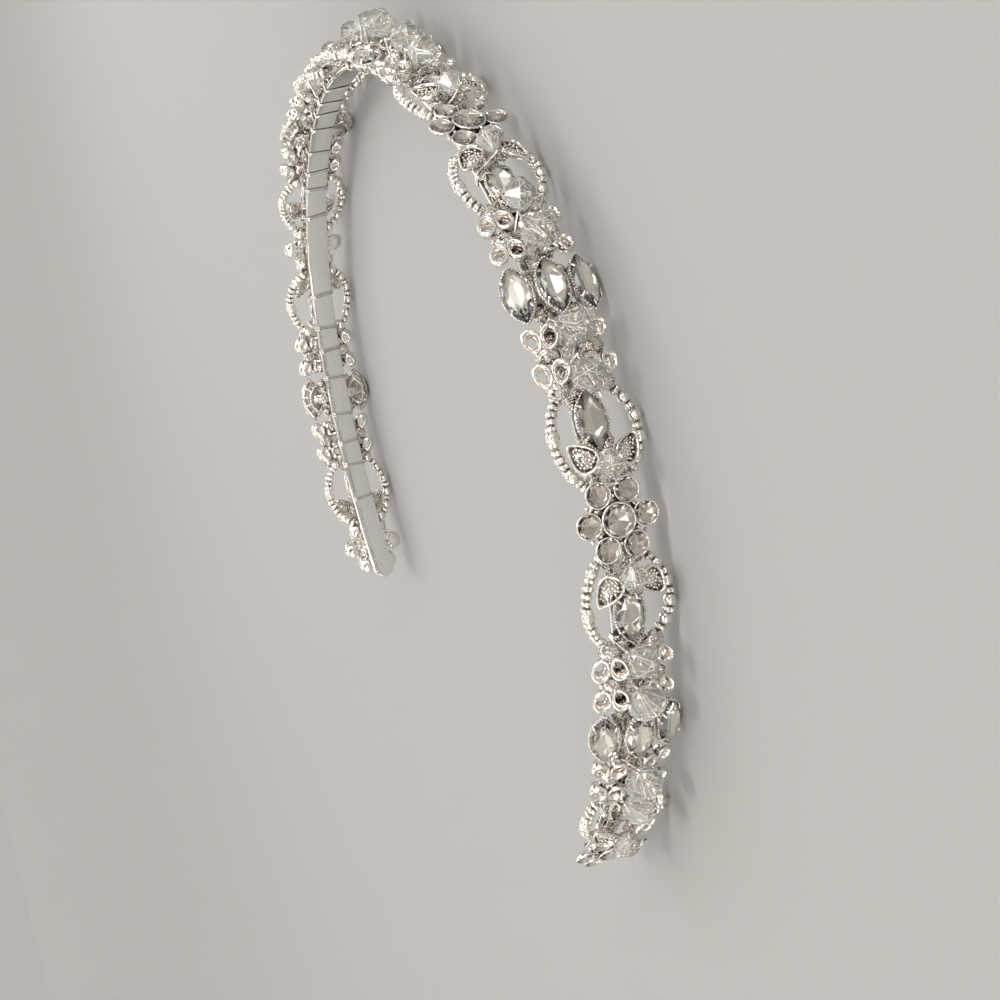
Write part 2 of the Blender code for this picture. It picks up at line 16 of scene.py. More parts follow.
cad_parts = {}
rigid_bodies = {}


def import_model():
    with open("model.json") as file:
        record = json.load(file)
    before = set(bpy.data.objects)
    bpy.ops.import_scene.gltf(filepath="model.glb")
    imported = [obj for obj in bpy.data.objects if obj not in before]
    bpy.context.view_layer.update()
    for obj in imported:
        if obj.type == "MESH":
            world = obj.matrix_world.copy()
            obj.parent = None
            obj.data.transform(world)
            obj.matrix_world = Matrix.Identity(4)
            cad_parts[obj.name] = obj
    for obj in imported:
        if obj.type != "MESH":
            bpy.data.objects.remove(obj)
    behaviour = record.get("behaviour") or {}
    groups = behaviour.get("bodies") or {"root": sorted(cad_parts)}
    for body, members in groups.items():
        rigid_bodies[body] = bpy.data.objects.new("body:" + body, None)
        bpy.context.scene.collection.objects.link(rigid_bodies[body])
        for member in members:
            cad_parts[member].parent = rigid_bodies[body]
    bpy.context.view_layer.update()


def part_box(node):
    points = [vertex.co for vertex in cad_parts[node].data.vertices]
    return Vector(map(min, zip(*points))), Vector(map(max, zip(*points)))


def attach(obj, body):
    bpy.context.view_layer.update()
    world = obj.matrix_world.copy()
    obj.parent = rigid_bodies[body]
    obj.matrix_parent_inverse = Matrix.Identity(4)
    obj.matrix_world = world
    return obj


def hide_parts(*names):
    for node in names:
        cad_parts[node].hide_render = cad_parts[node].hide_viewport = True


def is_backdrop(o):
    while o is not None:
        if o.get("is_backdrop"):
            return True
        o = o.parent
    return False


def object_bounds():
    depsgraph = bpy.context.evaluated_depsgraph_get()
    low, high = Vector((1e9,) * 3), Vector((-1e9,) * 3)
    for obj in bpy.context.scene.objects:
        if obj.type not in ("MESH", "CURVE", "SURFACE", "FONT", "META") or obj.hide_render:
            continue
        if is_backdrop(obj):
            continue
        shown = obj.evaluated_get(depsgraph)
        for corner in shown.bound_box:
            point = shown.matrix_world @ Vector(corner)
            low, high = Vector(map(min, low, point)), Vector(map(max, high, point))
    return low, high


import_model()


def in_mm(lengths):
    return [round(v * 1000, 1) for v in lengths]


# %% [markdown]
# ## Where things are on the strip
# A jeweller marks the strip out by length: so far from the crown, so far from the middle line, so
# high above the face. The same three numbers place every piece here. The bend is walked in short
# steps, because its radius changes along the side of the head.

# %% Walk along the bent strip
GROUP_PITCH, GROUPS_PER_SIDE = 0.0370, 5
TIP_LENGTH, TIP_ROUND = 0.0095, 0.0026
BAND_WIDTH, BAND_THICKNESS = 0.0050, 0.0010
CROWN_FLAT = 0.0080
SIDE_RADIUS = 0.0700
BEND = ((0.00, 1.31), (0.17, 1.29), (0.34, 1.23), (0.51, 1.00), (0.68, 1.00), (0.85, 1.22),
        (1.00, 1.39))    # share of the half strip, and the radius there in side radii
HALF_LENGTH = GROUPS_PER_SIDE * GROUP_PITCH + TIP_LENGTH
ARC_STEP = 0.0005

band_low, band_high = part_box("band")
REST = Vector(((band_low.x + band_high.x) / 2, band_high.y, (band_low.z + band_high.z) / 2))


def bend_radius(along):
    share = abs(along) / HALF_LENGTH
    for (start, first), (end, last) in zip(BEND, BEND[1:]):
        if share <= end:
            return SIDE_RADIUS * (first + (last - first) * (share - start) / (end - start))
    return SIDE_RADIUS * BEND[-1][1]


def walk_band():
    stations, x, y, heading = [(0.0, 0.0, 0.0)], 0.0, 0.0, 0.0
    for step in range(int(HALF_LENGTH / ARC_STEP) + 2):
        along = (step + 0.5) * ARC_STEP
        turn = 0.0 if along < CROWN_FLAT / 2 else ARC_STEP / bend_radius(along)
        x += ARC_STEP * math.cos(heading + turn / 2)
        y -= ARC_STEP * math.sin(heading + turn / 2)
        heading += turn
        stations.append((x, y, heading))
    return stations


STATIONS = walk_band()
LAST_PLACE = len(STATIONS) - 1.001    # just short of the last station
print("strip length", round(2 * HALF_LENGTH * 1000), "mm, crown at", in_mm(REST))


# %% Frames and points on the strip
def band_frame(along):
    """Matrix whose X runs along the strip, Y across it and Z out of its outer face."""
    place = min(abs(along) / ARC_STEP, LAST_PLACE)
    index, part = int(place), place - int(place)
    x, y, heading = (a + (b - a) * part for a, b in zip(STATIONS[index], STATIONS[index + 1]))
    if along < 0:
        x, heading = -x, -heading
    forward = Vector((math.cos(heading), -math.sin(heading), 0))
    outward = Vector((math.sin(heading), math.cos(heading), 0))
    matrix = Matrix((forward, Vector((0, 0, -1)), outward)).transposed().to_4x4()
    matrix.translation = Vector((x, y, 0)) + REST
    return matrix


def spot(along, across=0.0, out=0.0, lean=0.0, turn=0.0):
    """Frame of a piece; it leans towards the edge it is near and turns about its height."""
    tilt = Matrix.Rotation(-math.copysign(lean, across), 4, "X")
    return band_frame(along) @ Matrix.Translation((0, across, out)) @ tilt @ Matrix.Rotation(turn, 4, "Z")


def point(along, across, out):
    return band_frame(along) @ Vector((0, across, out))


print("tip at", in_mm(point(HALF_LENGTH, 0, 0)))

# %% [markdown]
# ## Camera and light
# The camera stands where the photographer's did, turned so that the headband, which lies on its
# side, is upright in the picture. Polished silver has no colour of its own, so soft lamps and pale
# ceiling panels give it its lights, and the gaps between the panels its darks. The walls have the
# floor's tone, so that no horizon shows.

# %% Camera
CAMERA_PLACE = Vector((0.33873, 0.07134, 0.10052))    # from the middle of the strip at the crown
CAMERA_RIGHT = Vector((0.35277, -0.10203, -0.93013))
CAMERA_DOWN = Vector((0.35599, -0.90465, 0.23425))
CAMERA_LENS, SENSOR = 68.4, 36.0


def new_object(name, data):
    made = bpy.data.objects.new(name, data)
    bpy.context.scene.collection.objects.link(made)
    return made


camera = bpy.data.cameras.new("camera")
camera.lens, camera.sensor_width = CAMERA_LENS, SENSOR
camera.clip_start = 0.01
camera_object = new_object("camera", camera)
ahead = CAMERA_RIGHT.cross(CAMERA_DOWN)
camera_object.matrix_world = Matrix.Translation(CAMERA_PLACE + REST) @ Matrix(
    (CAMERA_RIGHT, -CAMERA_DOWN, -ahead)).transposed().to_4x4()
bpy.context.scene.camera = camera_object
print("camera looks down by", round(math.degrees(math.asin(-ahead.z)), 1), "degrees")

# %% Soft lamps
LAMPS = (("lamp_crown_side", (0.30, 0.62, 0.30), (0.16, 0.40), 0.9, (1.0, 0.98, 0.95)),
         ("lamp_tip_side", (0.48, -0.42, 0.30), (0.12, 0.36), 0.7, (1.0, 0.95, 0.91)),
         ("lamp_far_side", (-0.45, 0.15, 0.40), (0.20, 0.30), 0.6, (1.0, 1.0, 1.0)))
LAMP_TARGET = Vector((0.04, 0.02, 0.01))
KEY_POWER, KEY_SPREAD, KEY_TINT = 0.9, math.radians(20), (1.0, 0.98, 0.94)
KEY_SIDE = Vector((0.25, 0.45, 1.0))


def hang(lamp, place, away):
    """Hang a lamp at a place, with its back to this direction."""
    turned = away.to_track_quat("Z", "Y").to_matrix().to_4x4()
    new_object(lamp.name, lamp).matrix_world = Matrix.Translation(place) @ turned


for name, place, size, power, tint in LAMPS:
    lamp = bpy.data.lights.new(name, "AREA")
    lamp.shape, lamp.size, lamp.size_y = "RECTANGLE", *size
    lamp.energy, lamp.color = power, tint
    hang(lamp, Vector(place), Vector(place) - LAMP_TARGET)
key = bpy.data.lights.new("key", "SUN")
key.energy, key.angle, key.color = KEY_POWER, KEY_SPREAD, KEY_TINT
hang(key, Vector(), KEY_SIDE)
print("a broad key light and", len(LAMPS), "soft lamps")


# %% Helpers for node trees
def feed(tree, node, links):
    """Give a node's inputs, by name or number, an output or a value."""
    for key, value in links.items():
        if isinstance(value, bpy.types.NodeSocket):
            tree.links.new(value, node.inputs[key])
        else:
            node.inputs[key].default_value = value


def place_node(tree, kind, links=None, **settings):
    made = tree.nodes.new(kind)
    for key, value in settings.items():
        setattr(made, key, value)
    feed(tree, made, links or {})
    return made


def maths(tree, operation, first, second=0.0):
    return place_node(tree, "ShaderNodeMath", {0: first, 1: second}, operation=operation).outputs["Value"]


def ranged(tree, value, start, end, low=0.0, high=1.0):
    """The value's way from start to end, as a number from low to high."""
    links = {"Value": value, 1: start, 2: end, 3: low, 4: high}
    return place_node(tree, "ShaderNodeMapRange", links).outputs["Result"]


def mixed(tree, share, first, second):
    return place_node(tree, "ShaderNodeMix", {0: share, 6: first, 7: second}, data_type="RGBA").outputs[2]


def toned(tree, value, tones):
    """A ramp between two colours, each with its place."""
    ramp = place_node(tree, "ShaderNodeValToRGB", {"Fac": value})
    for stop, (place, color) in zip(ramp.color_ramp.elements, tones):
        stop.position, stop.color = place, color
    return ramp.outputs["Color"]


print("node helpers ready")

# %% Room with pale walls and a panelled ceiling
WALLS = (0.482, 0.465, 0.437, 1.0)
CEILING = ((0.43, (0.07, 0.068, 0.065, 1.0)), (0.55, (1.32, 1.26, 1.17, 1.0)))    # gaps, panels
PANEL_SCALE, BULB_SCALE, BULB_GLOW = 2.6, 4.5, 12.0
BULB_EDGE = (0.13, 0.17)
WALL_TOP = (0.08, 0.30)    # the walls fade into the ceiling between these heights

room = bpy.data.worlds.new("room")
room.use_nodes = True
tree = room.node_tree
direction = place_node(tree, "ShaderNodeTexCoord").outputs["Generated"]
panels = place_node(tree, "ShaderNodeTexNoise", {"Vector": direction, "Scale": PANEL_SCALE, "Detail": 0.0})
bulbs = place_node(tree, "ShaderNodeTexVoronoi", {"Vector": direction, "Scale": BULB_SCALE})
glow = ranged(tree, bulbs.outputs["Distance"], *BULB_EDGE, BULB_GLOW, 0.0)
lit = place_node(tree, "ShaderNodeVectorMath", {0: toned(tree, panels.outputs["Fac"], CEILING), 1: glow},
                 operation="ADD").outputs["Vector"]
height = place_node(tree, "ShaderNodeSeparateXYZ", {"Vector": direction}).outputs["Z"]
feed(tree, tree.nodes["Background"], {"Color": mixed(tree, ranged(tree, height, *WALL_TOP), WALLS, lit)})
bpy.context.scene.world = room
bpy.context.scene.view_settings.view_transform = "Standard"
print("pale walls and a panelled ceiling")

# %% [markdown]
# ## Finishes
# Four silvers, two glasses, a whitish finish that paints highlights on crystal edges and two foils
# make up the whole piece. The cast parts are grainy, with dark seams between the grains, partly
# oxide and partly painted shade, and a painted warm shade in their hollows; the rims, wires and
# round beads are smooth; the strip is a mirror with fine rubbing marks. What the silvers share,
# the little dents, the dark seams and the painted shade, is one node group.

# %% Sockets, labels and new materials
FLOAT, WHOLE, COLOR = "NodeSocketFloat", "NodeSocketInt", "NodeSocketColor"


def new_sockets(tree, rows, way):
    for label, kind, value in rows:
        socket = tree.interface.new_socket(label, in_out=way, socket_type=kind)
        if value is not None:
            socket.default_value = value


def as_labels(values):
    return {key.replace("_", " ").title(): value for key, value in values.items()}


def new_finish(name):
    finish = bpy.data.materials.new(name)
    finish.use_nodes = True
    return finish, finish.node_tree, finish.node_tree.nodes["Principled BSDF"]


print("material helpers ready")

# %% The shared group: dents, dark grain seams and a painted warm shade in the hollows
HOLLOW_REACH, HOLLOW_SAMPLES = 0.0009, 4
SEAM_RANGE, HOLLOW_RANGE, RUB_RANGE = (0.35, 0.75), (0.80, 0.30), (0.3, 0.7)
RUB_SCALE, RUB_DETAIL = 420.0, 3.0

tree = bpy.data.node_groups.new("worn_silver", "ShaderNodeTree")
new_sockets(tree, (
    ("Grain Scale", FLOAT, 1600.0), ("Shade", FLOAT, 0.8), ("Pits", FLOAT, 0.3),
    ("Bright", COLOR, (0.90, 0.89, 0.87, 1.0)), ("Hollow", COLOR, (0.17, 0.13, 0.115, 1.0)),
    ("Smooth", FLOAT, 0.08), ("Rough", FLOAT, 0.3)), "INPUT")
new_sockets(tree, (("Color", COLOR, None), ("Roughness", FLOAT, None), ("Height", FLOAT, None)), "OUTPUT")
given = tree.nodes.new("NodeGroupInput").outputs
place = place_node(tree, "ShaderNodeTexCoord").outputs["Object"]
grain = place_node(tree, "ShaderNodeTexVoronoi", {"Vector": place, "Scale": given["Grain Scale"]},
                   feature="SMOOTH_F1").outputs["Distance"]
# Dark seams between the grains: partly oxide, partly painted shade.
seam = maths(tree, "MULTIPLY", ranged(tree, grain, *SEAM_RANGE), given["Pits"])
# Painted shade: ambient occlusion darkens the hollows towards one dark, warm colour.
corner = place_node(tree, "ShaderNodeAmbientOcclusion", {"Distance": HOLLOW_REACH}, samples=HOLLOW_SAMPLES)
painted_shade = maths(tree, "MULTIPLY", ranged(tree, corner.outputs["AO"], *HOLLOW_RANGE), given["Shade"])
rub = place_node(tree, "ShaderNodeTexNoise", {"Vector": place, "Scale": RUB_SCALE, "Detail": RUB_DETAIL})
feed(tree, tree.nodes.new("NodeGroupOutput"), {
    "Color": mixed(tree, maths(tree, "MAXIMUM", painted_shade, seam), given["Bright"], given["Hollow"]),
    "Roughness": ranged(tree, rub.outputs["Fac"], *RUB_RANGE, given["Smooth"], given["Rough"]),
    "Height": maths(tree, "SUBTRACT", 1.0, grain)})
SILVER_WEAR_AND_SHADE = tree
print("group", SILVER_WEAR_AND_SHADE.name)


# %% Silver finishes
def silver(name, bump_height, bump_strength, **values):
    """A silver made from the shared group with its own values."""
    finish, tree, shader = new_finish(name)
    wear_and_shade = place_node(tree, "ShaderNodeGroup", as_labels(values), node_tree=SILVER_WEAR_AND_SHADE)
    bump = place_node(tree, "ShaderNodeBump", {
        "Height": wear_and_shade.outputs["Height"], "Distance": bump_height, "Strength": bump_strength})
    feed(tree, shader, {"Metallic": 1.0, "Base Color": wear_and_shade.outputs["Color"],
                        "Roughness": wear_and_shade.outputs["Roughness"], "Normal": bump.outputs["Normal"]})
    return finish


# shade sets how dark the painted shade in the hollows is; the seam value sets how dark the seams between
# grains are.
STRIP_SILVER = silver("polished_strip", 0.00001, 0.25, grain_scale=2600.0, shade=0.5, pits=0.15,
                      bright=(0.84, 0.83, 0.82, 1.0), smooth=0.05, rough=0.16)
CAST_SILVER = silver("grained_casting", 0.00014, 0.9, grain_scale=1900.0, shade=1.0, pits=0.75,
                     bright=(0.95, 0.91, 0.86, 1.0), smooth=0.10, rough=0.26)
BRIGHT_SILVER = silver("smooth_rim_silver", 0.00002, 0.3, grain_scale=1500.0, shade=0.75, pits=0.15,
                       bright=(0.97, 0.93, 0.885, 1.0), smooth=0.05, rough=0.14)
BEAD_SILVER = silver("rolled_bead_silver", 0.00005, 0.6, grain_scale=1300.0, shade=0.85, pits=0.25,
                     bright=(0.97, 0.93, 0.885, 1.0), smooth=0.07, rough=0.20)
print("silvers", [m.name for m in (STRIP_SILVER, CAST_SILVER, BRIGHT_SILVER, BEAD_SILVER)])

# %% Glass, its polished edges and the foil behind it
SMEAR_SCALE, SMEAR_DETAIL, SMEAR_RANGE, SMEAR_ROUGHER = 300.0, 2.0, (0.4, 0.75), 3
# Foil facets take painted light and shade: from the shaded colour up to a painted lit tone, by each facet's
# random value.
FOIL_METAL, FOIL_ROUGH = 0.35, (0.14, 0.04)
FOIL_BRIGHT = (0.85, (1.0, 0.985, 0.945, 1.0))    # from this facet value on, this colour


def facet_value(tree):
    return place_node(tree, "ShaderNodeAttribute", attribute_name="facet").outputs["Fac"]


def glass(name, tint, shaded, roughness, bend, through=1.0, gloss=0.5):
    """Glass whose facets run at random from a painted shaded tone to the clear tint."""
    finish, tree, shader = new_finish(name)
    place = place_node(tree, "ShaderNodeTexCoord").outputs["Object"]
    smear = place_node(tree, "ShaderNodeTexNoise", {
        "Vector": place, "Scale": SMEAR_SCALE, "Detail": SMEAR_DETAIL}).outputs["Fac"]
    feed(tree, shader, {
        "Metallic": 0.0, "Transmission Weight": through, "IOR": bend, "Specular IOR Level": gloss,
        "Roughness": ranged(tree, smear, *SMEAR_RANGE, roughness, roughness * SMEAR_ROUGHER),
        "Base Color": mixed(tree, facet_value(tree), (*shaded, 1.0), (*tint, 1.0))})
    return finish


def foil(name, shaded):
    """Silvering behind a stone: a mirror whose facets differ in polish and in painted light and shade."""
    finish, tree, shader = new_finish(name)
    facet = facet_value(tree)
    feed(tree, shader, {
        "Metallic": FOIL_METAL, "Roughness": ranged(tree, facet, 0.0, 1.0, *FOIL_ROUGH),
        "Base Color": toned(tree, facet, ((0.0, (*shaded, 1.0)), FOIL_BRIGHT))})
    return finish


# The second colour of each glass and foil is the painted shade that its darker facets take, chosen at
# random per facet.
STONE_GLASS = glass("clear_cut_stone", (1.0, 0.99, 0.97), (0.97, 0.95, 0.92), 0.006, bend=1.62)
BEAD_GLASS = glass("cut_crystal_bead", (1.0, 0.99, 0.96), (0.95, 0.945, 0.90), 0.008, bend=1.68,
                   through=0.85, gloss=1.0)
# A mostly opaque whitish glass for some bevels: a painted highlight along crystal edges.
EDGE_HIGHLIGHT_GLASS = glass("polished_glass_edge", (1.0, 0.99, 0.97), (1.0, 0.99, 0.97), 0.10, bend=1.54,
                   through=0.30)
WHITE_FOIL = foil("white_foil", (0.84, 0.82, 0.78))
ROSE_FOIL = foil("rose_foil", (0.64, 0.545, 0.505))
print("glass and foil", [m.name for m in (STONE_GLASS, BEAD_GLASS, EDGE_HIGHLIGHT_GLASS, WHITE_FOIL, ROSE_FOIL)])

# %% [markdown]
# ## Geometry Nodes that do the repeating
# Five small trees do all the jeweller's repeating: seat copies at marked places, draw a wire along
# a path, thread beads on a path, sprinkle grains over a casting, and wind wire round the strip.
# Each ends in Realize Instances and Set Material, so its result can become a plain mesh.

# %% Start and end of a tree
GEOMETRY, OBJECT, MATERIAL = "NodeSocketGeometry", "NodeSocketObject", "NodeSocketMaterial"


def new_tree(name, rows):
    """A tree with one geometry in, the named inputs after it, and one geometry out."""
    tree = bpy.data.node_groups.new(name, "GeometryNodeTree")
    new_sockets(tree, (("Geometry", GEOMETRY, None), *rows, ("Finish", MATERIAL, None),
                       ("Edge Finish", MATERIAL, None)), "INPUT")
    new_sockets(tree, (("Geometry", GEOMETRY, None),), "OUTPUT")
    return tree, tree.nodes.new("NodeGroupInput").outputs


def read_mark(tree, label, kind="FLOAT_VECTOR"):
    mark = place_node(tree, "GeometryNodeInputNamedAttribute", {"Name": label}, data_type=kind)
    return mark.outputs["Attribute"]


def close_tree(tree, given, shape, smooth=False):
    """Realize Instances and Set Material, with a second finish where a face is marked edge."""
    shape = place_node(tree, "GeometryNodeRealizeInstances", {"Geometry": shape}).outputs[0]
    if smooth:
        shape = place_node(tree, "GeometryNodeSetShadeSmooth", {"Geometry": shape}).outputs[0]
    on_edge = place_node(tree, "FunctionNodeCompare", {0: read_mark(tree, "edge", "FLOAT"), 1: 0.5},
                         operation="GREATER_THAN").outputs["Result"]
    for label, chosen in (("Finish", True), ("Edge Finish", on_edge)):
        shape = place_node(tree, "GeometryNodeSetMaterial", {
            "Geometry": shape, "Selection": chosen, "Material": given[label]}).outputs[0]
    feed(tree, tree.nodes.new("NodeGroupOutput"), {"Geometry": shape})
    return tree


def run_tree(mesh, tree, **values):
    """The tree's result on this mesh, as a plain mesh."""
    holder = new_object("in_the_making", mesh)
    step = holder.modifiers.new("nodes", "NODES")
    step.node_group = tree
    keys = {socket.name: socket.identifier for socket in tree.interface.items_tree
            if socket.in_out == "INPUT"}
    for label, value in as_labels(values).items():
        step[keys[label]] = value
    depsgraph = bpy.context.evaluated_depsgraph_get()
    made = bpy.data.meshes.new_from_object(
        holder.evaluated_get(depsgraph), preserve_all_data_layers=True, depsgraph=depsgraph)
    bpy.data.objects.remove(holder)
    return made


print("tree helpers ready")

# %% Tree 1: seat copies at marked places
tree, given = new_tree("seat_copies", (("Piece", OBJECT, None),))
piece = place_node(tree, "GeometryNodeObjectInfo", {"Object": given["Piece"]})
rotation = place_node(tree, "FunctionNodeEulerToRotation", {"Euler": read_mark(tree, "turn")})
copies = place_node(tree, "GeometryNodeInstanceOnPoints", {
    "Points": given["Geometry"], "Instance": piece.outputs["Geometry"],
    "Rotation": rotation.outputs["Rotation"], "Scale": read_mark(tree, "size")})
SEAT_COPIES = close_tree(tree, given, copies.outputs["Instances"])


def seat(piece, spots, finish, edge_finish=None):
    """Copies of a piece at these frames."""
    marks = bpy.data.meshes.new("marks")
    marks.from_pydata([here.translation for here in spots], [], [])
    for label, rows in (("turn", [here.to_euler() for here in spots]),
                        ("size", [here.to_scale() for here in spots])):
        values = marks.attributes.new(label, "FLOAT_VECTOR", "POINT").data
        for value, row in zip(values, rows):
            value.vector = tuple(row)
    return run_tree(marks, SEAT_COPIES, piece=piece, finish=finish, edge_finish=edge_finish)


print("tree", SEAT_COPIES.name)


# %% Tree 2: a wire along a path
WIRE_SIDES = 6


def swept(tree, path, radius):
    """Round wire along the edges of a mesh."""
    curve = place_node(tree, "GeometryNodeMeshToCurve", {"Mesh": path}).outputs["Curve"]
    ring = place_node(tree, "GeometryNodeCurvePrimitiveCircle", {
        "Resolution": WIRE_SIDES, "Radius": radius})
    wound = place_node(tree, "GeometryNodeCurveToMesh", {
        "Curve": curve, "Profile Curve": ring.outputs["Curve"], "Fill Caps": True})
    return wound.outputs["Mesh"]


tree, given = new_tree("wire_on_path", (("Radius", FLOAT, 0.0002),))
drawn = swept(tree, given["Geometry"], given["Radius"])
WIRE_ON_PATH = close_tree(tree, given, drawn, smooth=True)


def path_mesh(lines, closed=False):
    """Edges through each line of points."""
    places, edges = [], []
    for line in lines:
        first = len(places)
        places += [tuple(place) for place in line]
        edges += [(first + i, first + i + 1) for i in range(len(line) - 1)]
        if closed:
            edges.append((first + len(line) - 1, first))
    mesh = bpy.data.meshes.new("path")
    mesh.from_pydata(places, edges, [])
    return mesh


def wire(lines, radius, finish):
    return run_tree(path_mesh(lines), WIRE_ON_PATH, radius=radius, finish=finish)


print("tree", WIRE_ON_PATH.name)


# %% Tree 3: beads threaded on a path
def random_size(tree, seed, low, high=1.0):
    size = place_node(tree, "FunctionNodeRandomValue", {2: low, 3: high, "Seed": seed}, data_type="FLOAT")
    return size.outputs[1]


def joined(tree, shapes):
    both = tree.nodes.new("GeometryNodeJoinGeometry")
    for shape in shapes:
        tree.links.new(shape, both.inputs["Geometry"])
    return both.outputs["Geometry"]


tree, given = new_tree("beads_on_path", (
    ("Round Bead", OBJECT, None), ("Rough Bead", OBJECT, None), ("Pitch", FLOAT, 0.0014),
    ("Round Every", WHOLE, 2), ("Size Change", FLOAT, 0.06), ("Seed", WHOLE, 1)))
path = place_node(tree, "GeometryNodeMeshToCurve", {"Mesh": given["Geometry"]})
marks = place_node(tree, "GeometryNodeCurveToPoints", {
    "Curve": path.outputs["Curve"], "Length": given["Pitch"]}, mode="LENGTH")
order = place_node(tree, "GeometryNodeInputIndex").outputs["Index"]
rest = maths(tree, "MODULO", order, given["Round Every"])
is_round = place_node(tree, "FunctionNodeCompare", {0: rest, 1: 0.5}, operation="LESS_THAN").outputs[0]
is_rough = place_node(tree, "FunctionNodeBooleanMath", {0: is_round}, operation="NOT").outputs[0]
size = random_size(tree, given["Seed"], maths(tree, "SUBTRACT", 1.0, given["Size Change"]),
                   maths(tree, "ADD", 1.0, given["Size Change"]))
roll = place_node(tree, "FunctionNodeRandomValue", {
    0: (0, 0, 0), 1: (0, 0, 2 * math.pi), "Seed": given["Seed"]}, data_type="FLOAT_VECTOR").outputs[0]
shapes = []
for label, chosen in (("Round Bead", is_round), ("Rough Bead", is_rough)):
    bead = place_node(tree, "GeometryNodeObjectInfo", {"Object": given[label]})
    copies = place_node(tree, "GeometryNodeInstanceOnPoints", {
        "Points": marks.outputs["Points"], "Selection": chosen, "Instance": bead.outputs["Geometry"],
        "Rotation": marks.outputs["Rotation"], "Scale": size})
    rolled = place_node(tree, "GeometryNodeRotateInstances", {
        "Instances": copies.outputs["Instances"], "Rotation": roll})
    shapes.append(rolled.outputs["Instances"])
BEADS_ON_PATH = close_tree(tree, given, joined(tree, shapes), smooth=True)
print("tree", BEADS_ON_PATH.name)

# %% Tree 4: grains over a casting
MOST_GRAINS = 6.0e7    # a square metre, before those that stand too close are left out

tree, given = new_tree("grains_on_casting", (
    ("Grain", FLOAT, 0.0004), ("Gap", FLOAT, 0.0004), ("Least", FLOAT, 0.6), ("Seed", WHOLE, 1)))
marks = place_node(tree, "GeometryNodeDistributePointsOnFaces", {
    "Mesh": given["Geometry"], "Distance Min": given["Gap"], "Density Max": MOST_GRAINS,
    "Seed": given["Seed"]}, distribute_method="POISSON")
radius = maths(tree, "MULTIPLY", given["Grain"], 0.5)
grain = place_node(tree, "GeometryNodeMeshIcoSphere", {"Radius": radius, "Subdivisions": 1})
copies = place_node(tree, "GeometryNodeInstanceOnPoints", {
    "Points": marks.outputs["Points"], "Instance": grain.outputs["Mesh"],
    "Rotation": marks.outputs["Rotation"], "Scale": random_size(tree, given["Seed"], given["Least"])})
shapes = (copies.outputs["Instances"], given["Geometry"])
GRAINS_ON_CASTING = close_tree(tree, given, joined(tree, shapes), smooth=True)
print("tree", GRAINS_ON_CASTING.name)

# %% Tree 5: wire wound round the strip and a rail
PER_TURN = 16
PUSH = {"Width": 1.35, "Height": 1.8}    # how far a wave passes its limit, where it is cut off flat

tree, given = new_tree("wire_round_strip", (
    ("Turns", FLOAT, 3.0), ("Pitch", FLOAT, 0.0006), ("Radius", FLOAT, 0.0002),
    ("Width", FLOAT, 0.006), ("Height", FLOAT, 0.003), ("Middle", FLOAT, 0.0)))
count = maths(tree, "MULTIPLY", given["Turns"], PER_TURN)
line = place_node(tree, "GeometryNodeMeshLine", {"Count": count})
order = place_node(tree, "GeometryNodeInputIndex").outputs["Index"]
angle = maths(tree, "MULTIPLY", order, 2 * math.pi / PER_TURN)
past_middle = maths(tree, "SUBTRACT", order, maths(tree, "DIVIDE", count, 2.0))
axes = [maths(tree, "MULTIPLY", past_middle, maths(tree, "DIVIDE", given["Pitch"], PER_TURN))]
for wave, label in (("COSINE", "Width"), ("SINE", "Height")):
    half = maths(tree, "MULTIPLY", given[label], 0.5)
    swing = maths(tree, "MULTIPLY", maths(tree, "MULTIPLY", maths(tree, wave, angle), half), PUSH[label])
    cut_low = maths(tree, "MAXIMUM", swing, maths(tree, "MULTIPLY", half, -1.0))
    axes.append(maths(tree, "MINIMUM", cut_low, half))
axes[2] = maths(tree, "ADD", axes[2], given["Middle"])
place = place_node(tree, "ShaderNodeCombineXYZ", dict(zip("XYZ", axes)))
bent = place_node(tree, "GeometryNodeSetPosition", {
    "Geometry": line.outputs["Mesh"], "Position": place.outputs["Vector"]}).outputs["Geometry"]
WIRE_ROUND_STRIP = close_tree(tree, given, swept(tree, bent, given["Radius"]), smooth=True)
print("tree", WIRE_ROUND_STRIP.name)

# %% [markdown]
# ## Shapes that every setting uses
# Lofted rings make cups, rims and rails; the hull of a few rings of points makes a cut stone,
# which is how a cutter thinks of one too: a table, a belt of facets, a girdle and a point.

# %% Outlines, lofts and patterns
PATTERNS = bpy.data.collections.new("patterns")
bpy.context.scene.collection.children.link(PATTERNS)


def as_pattern(name, mesh):
    """Keep a mesh as an object that the trees can copy."""
    pattern = bpy.data.objects.new(name, mesh)
    PATTERNS.objects.link(pattern)
    return pattern


def finished(name, shape, smooth=False, finish=None):
    mesh = bpy.data.meshes.new(name)
    shape.to_mesh(mesh)
    shape.free()
    mesh.polygons.foreach_set("use_smooth", [smooth] * len(mesh.polygons))
    if finish:
        mesh.materials.append(finish)
    return mesh


def loft(sections, around=False):
    """Body through rings of the same number of points; around closes the last ring on the first."""
    shape = bmesh.new()
    rings = [[shape.verts.new(place) for place in section] for section in sections]
    pairs = list(zip(rings, rings[1:])) + ([(rings[-1], rings[0])] if around else [])
    for lower, upper in pairs:
        for i in range(len(lower)):
            j = (i + 1) % len(lower)
            shape.faces.new((lower[i], lower[j], upper[j], upper[i]))
    if not around:
        shape.faces.new(reversed(rings[0]))
        shape.faces.new(rings[-1])
    bmesh.ops.recalc_face_normals(shape, faces=shape.faces)
    return shape


def level(outline, scale, height):
    return [(x * scale, y * scale, height) for x, y in outline]


def ring_wall(outline, profile):
    """Closed ring; the profile lists shares of the outline and heights."""
    return loft([level(outline, share, height) for share, height in profile], around=True)


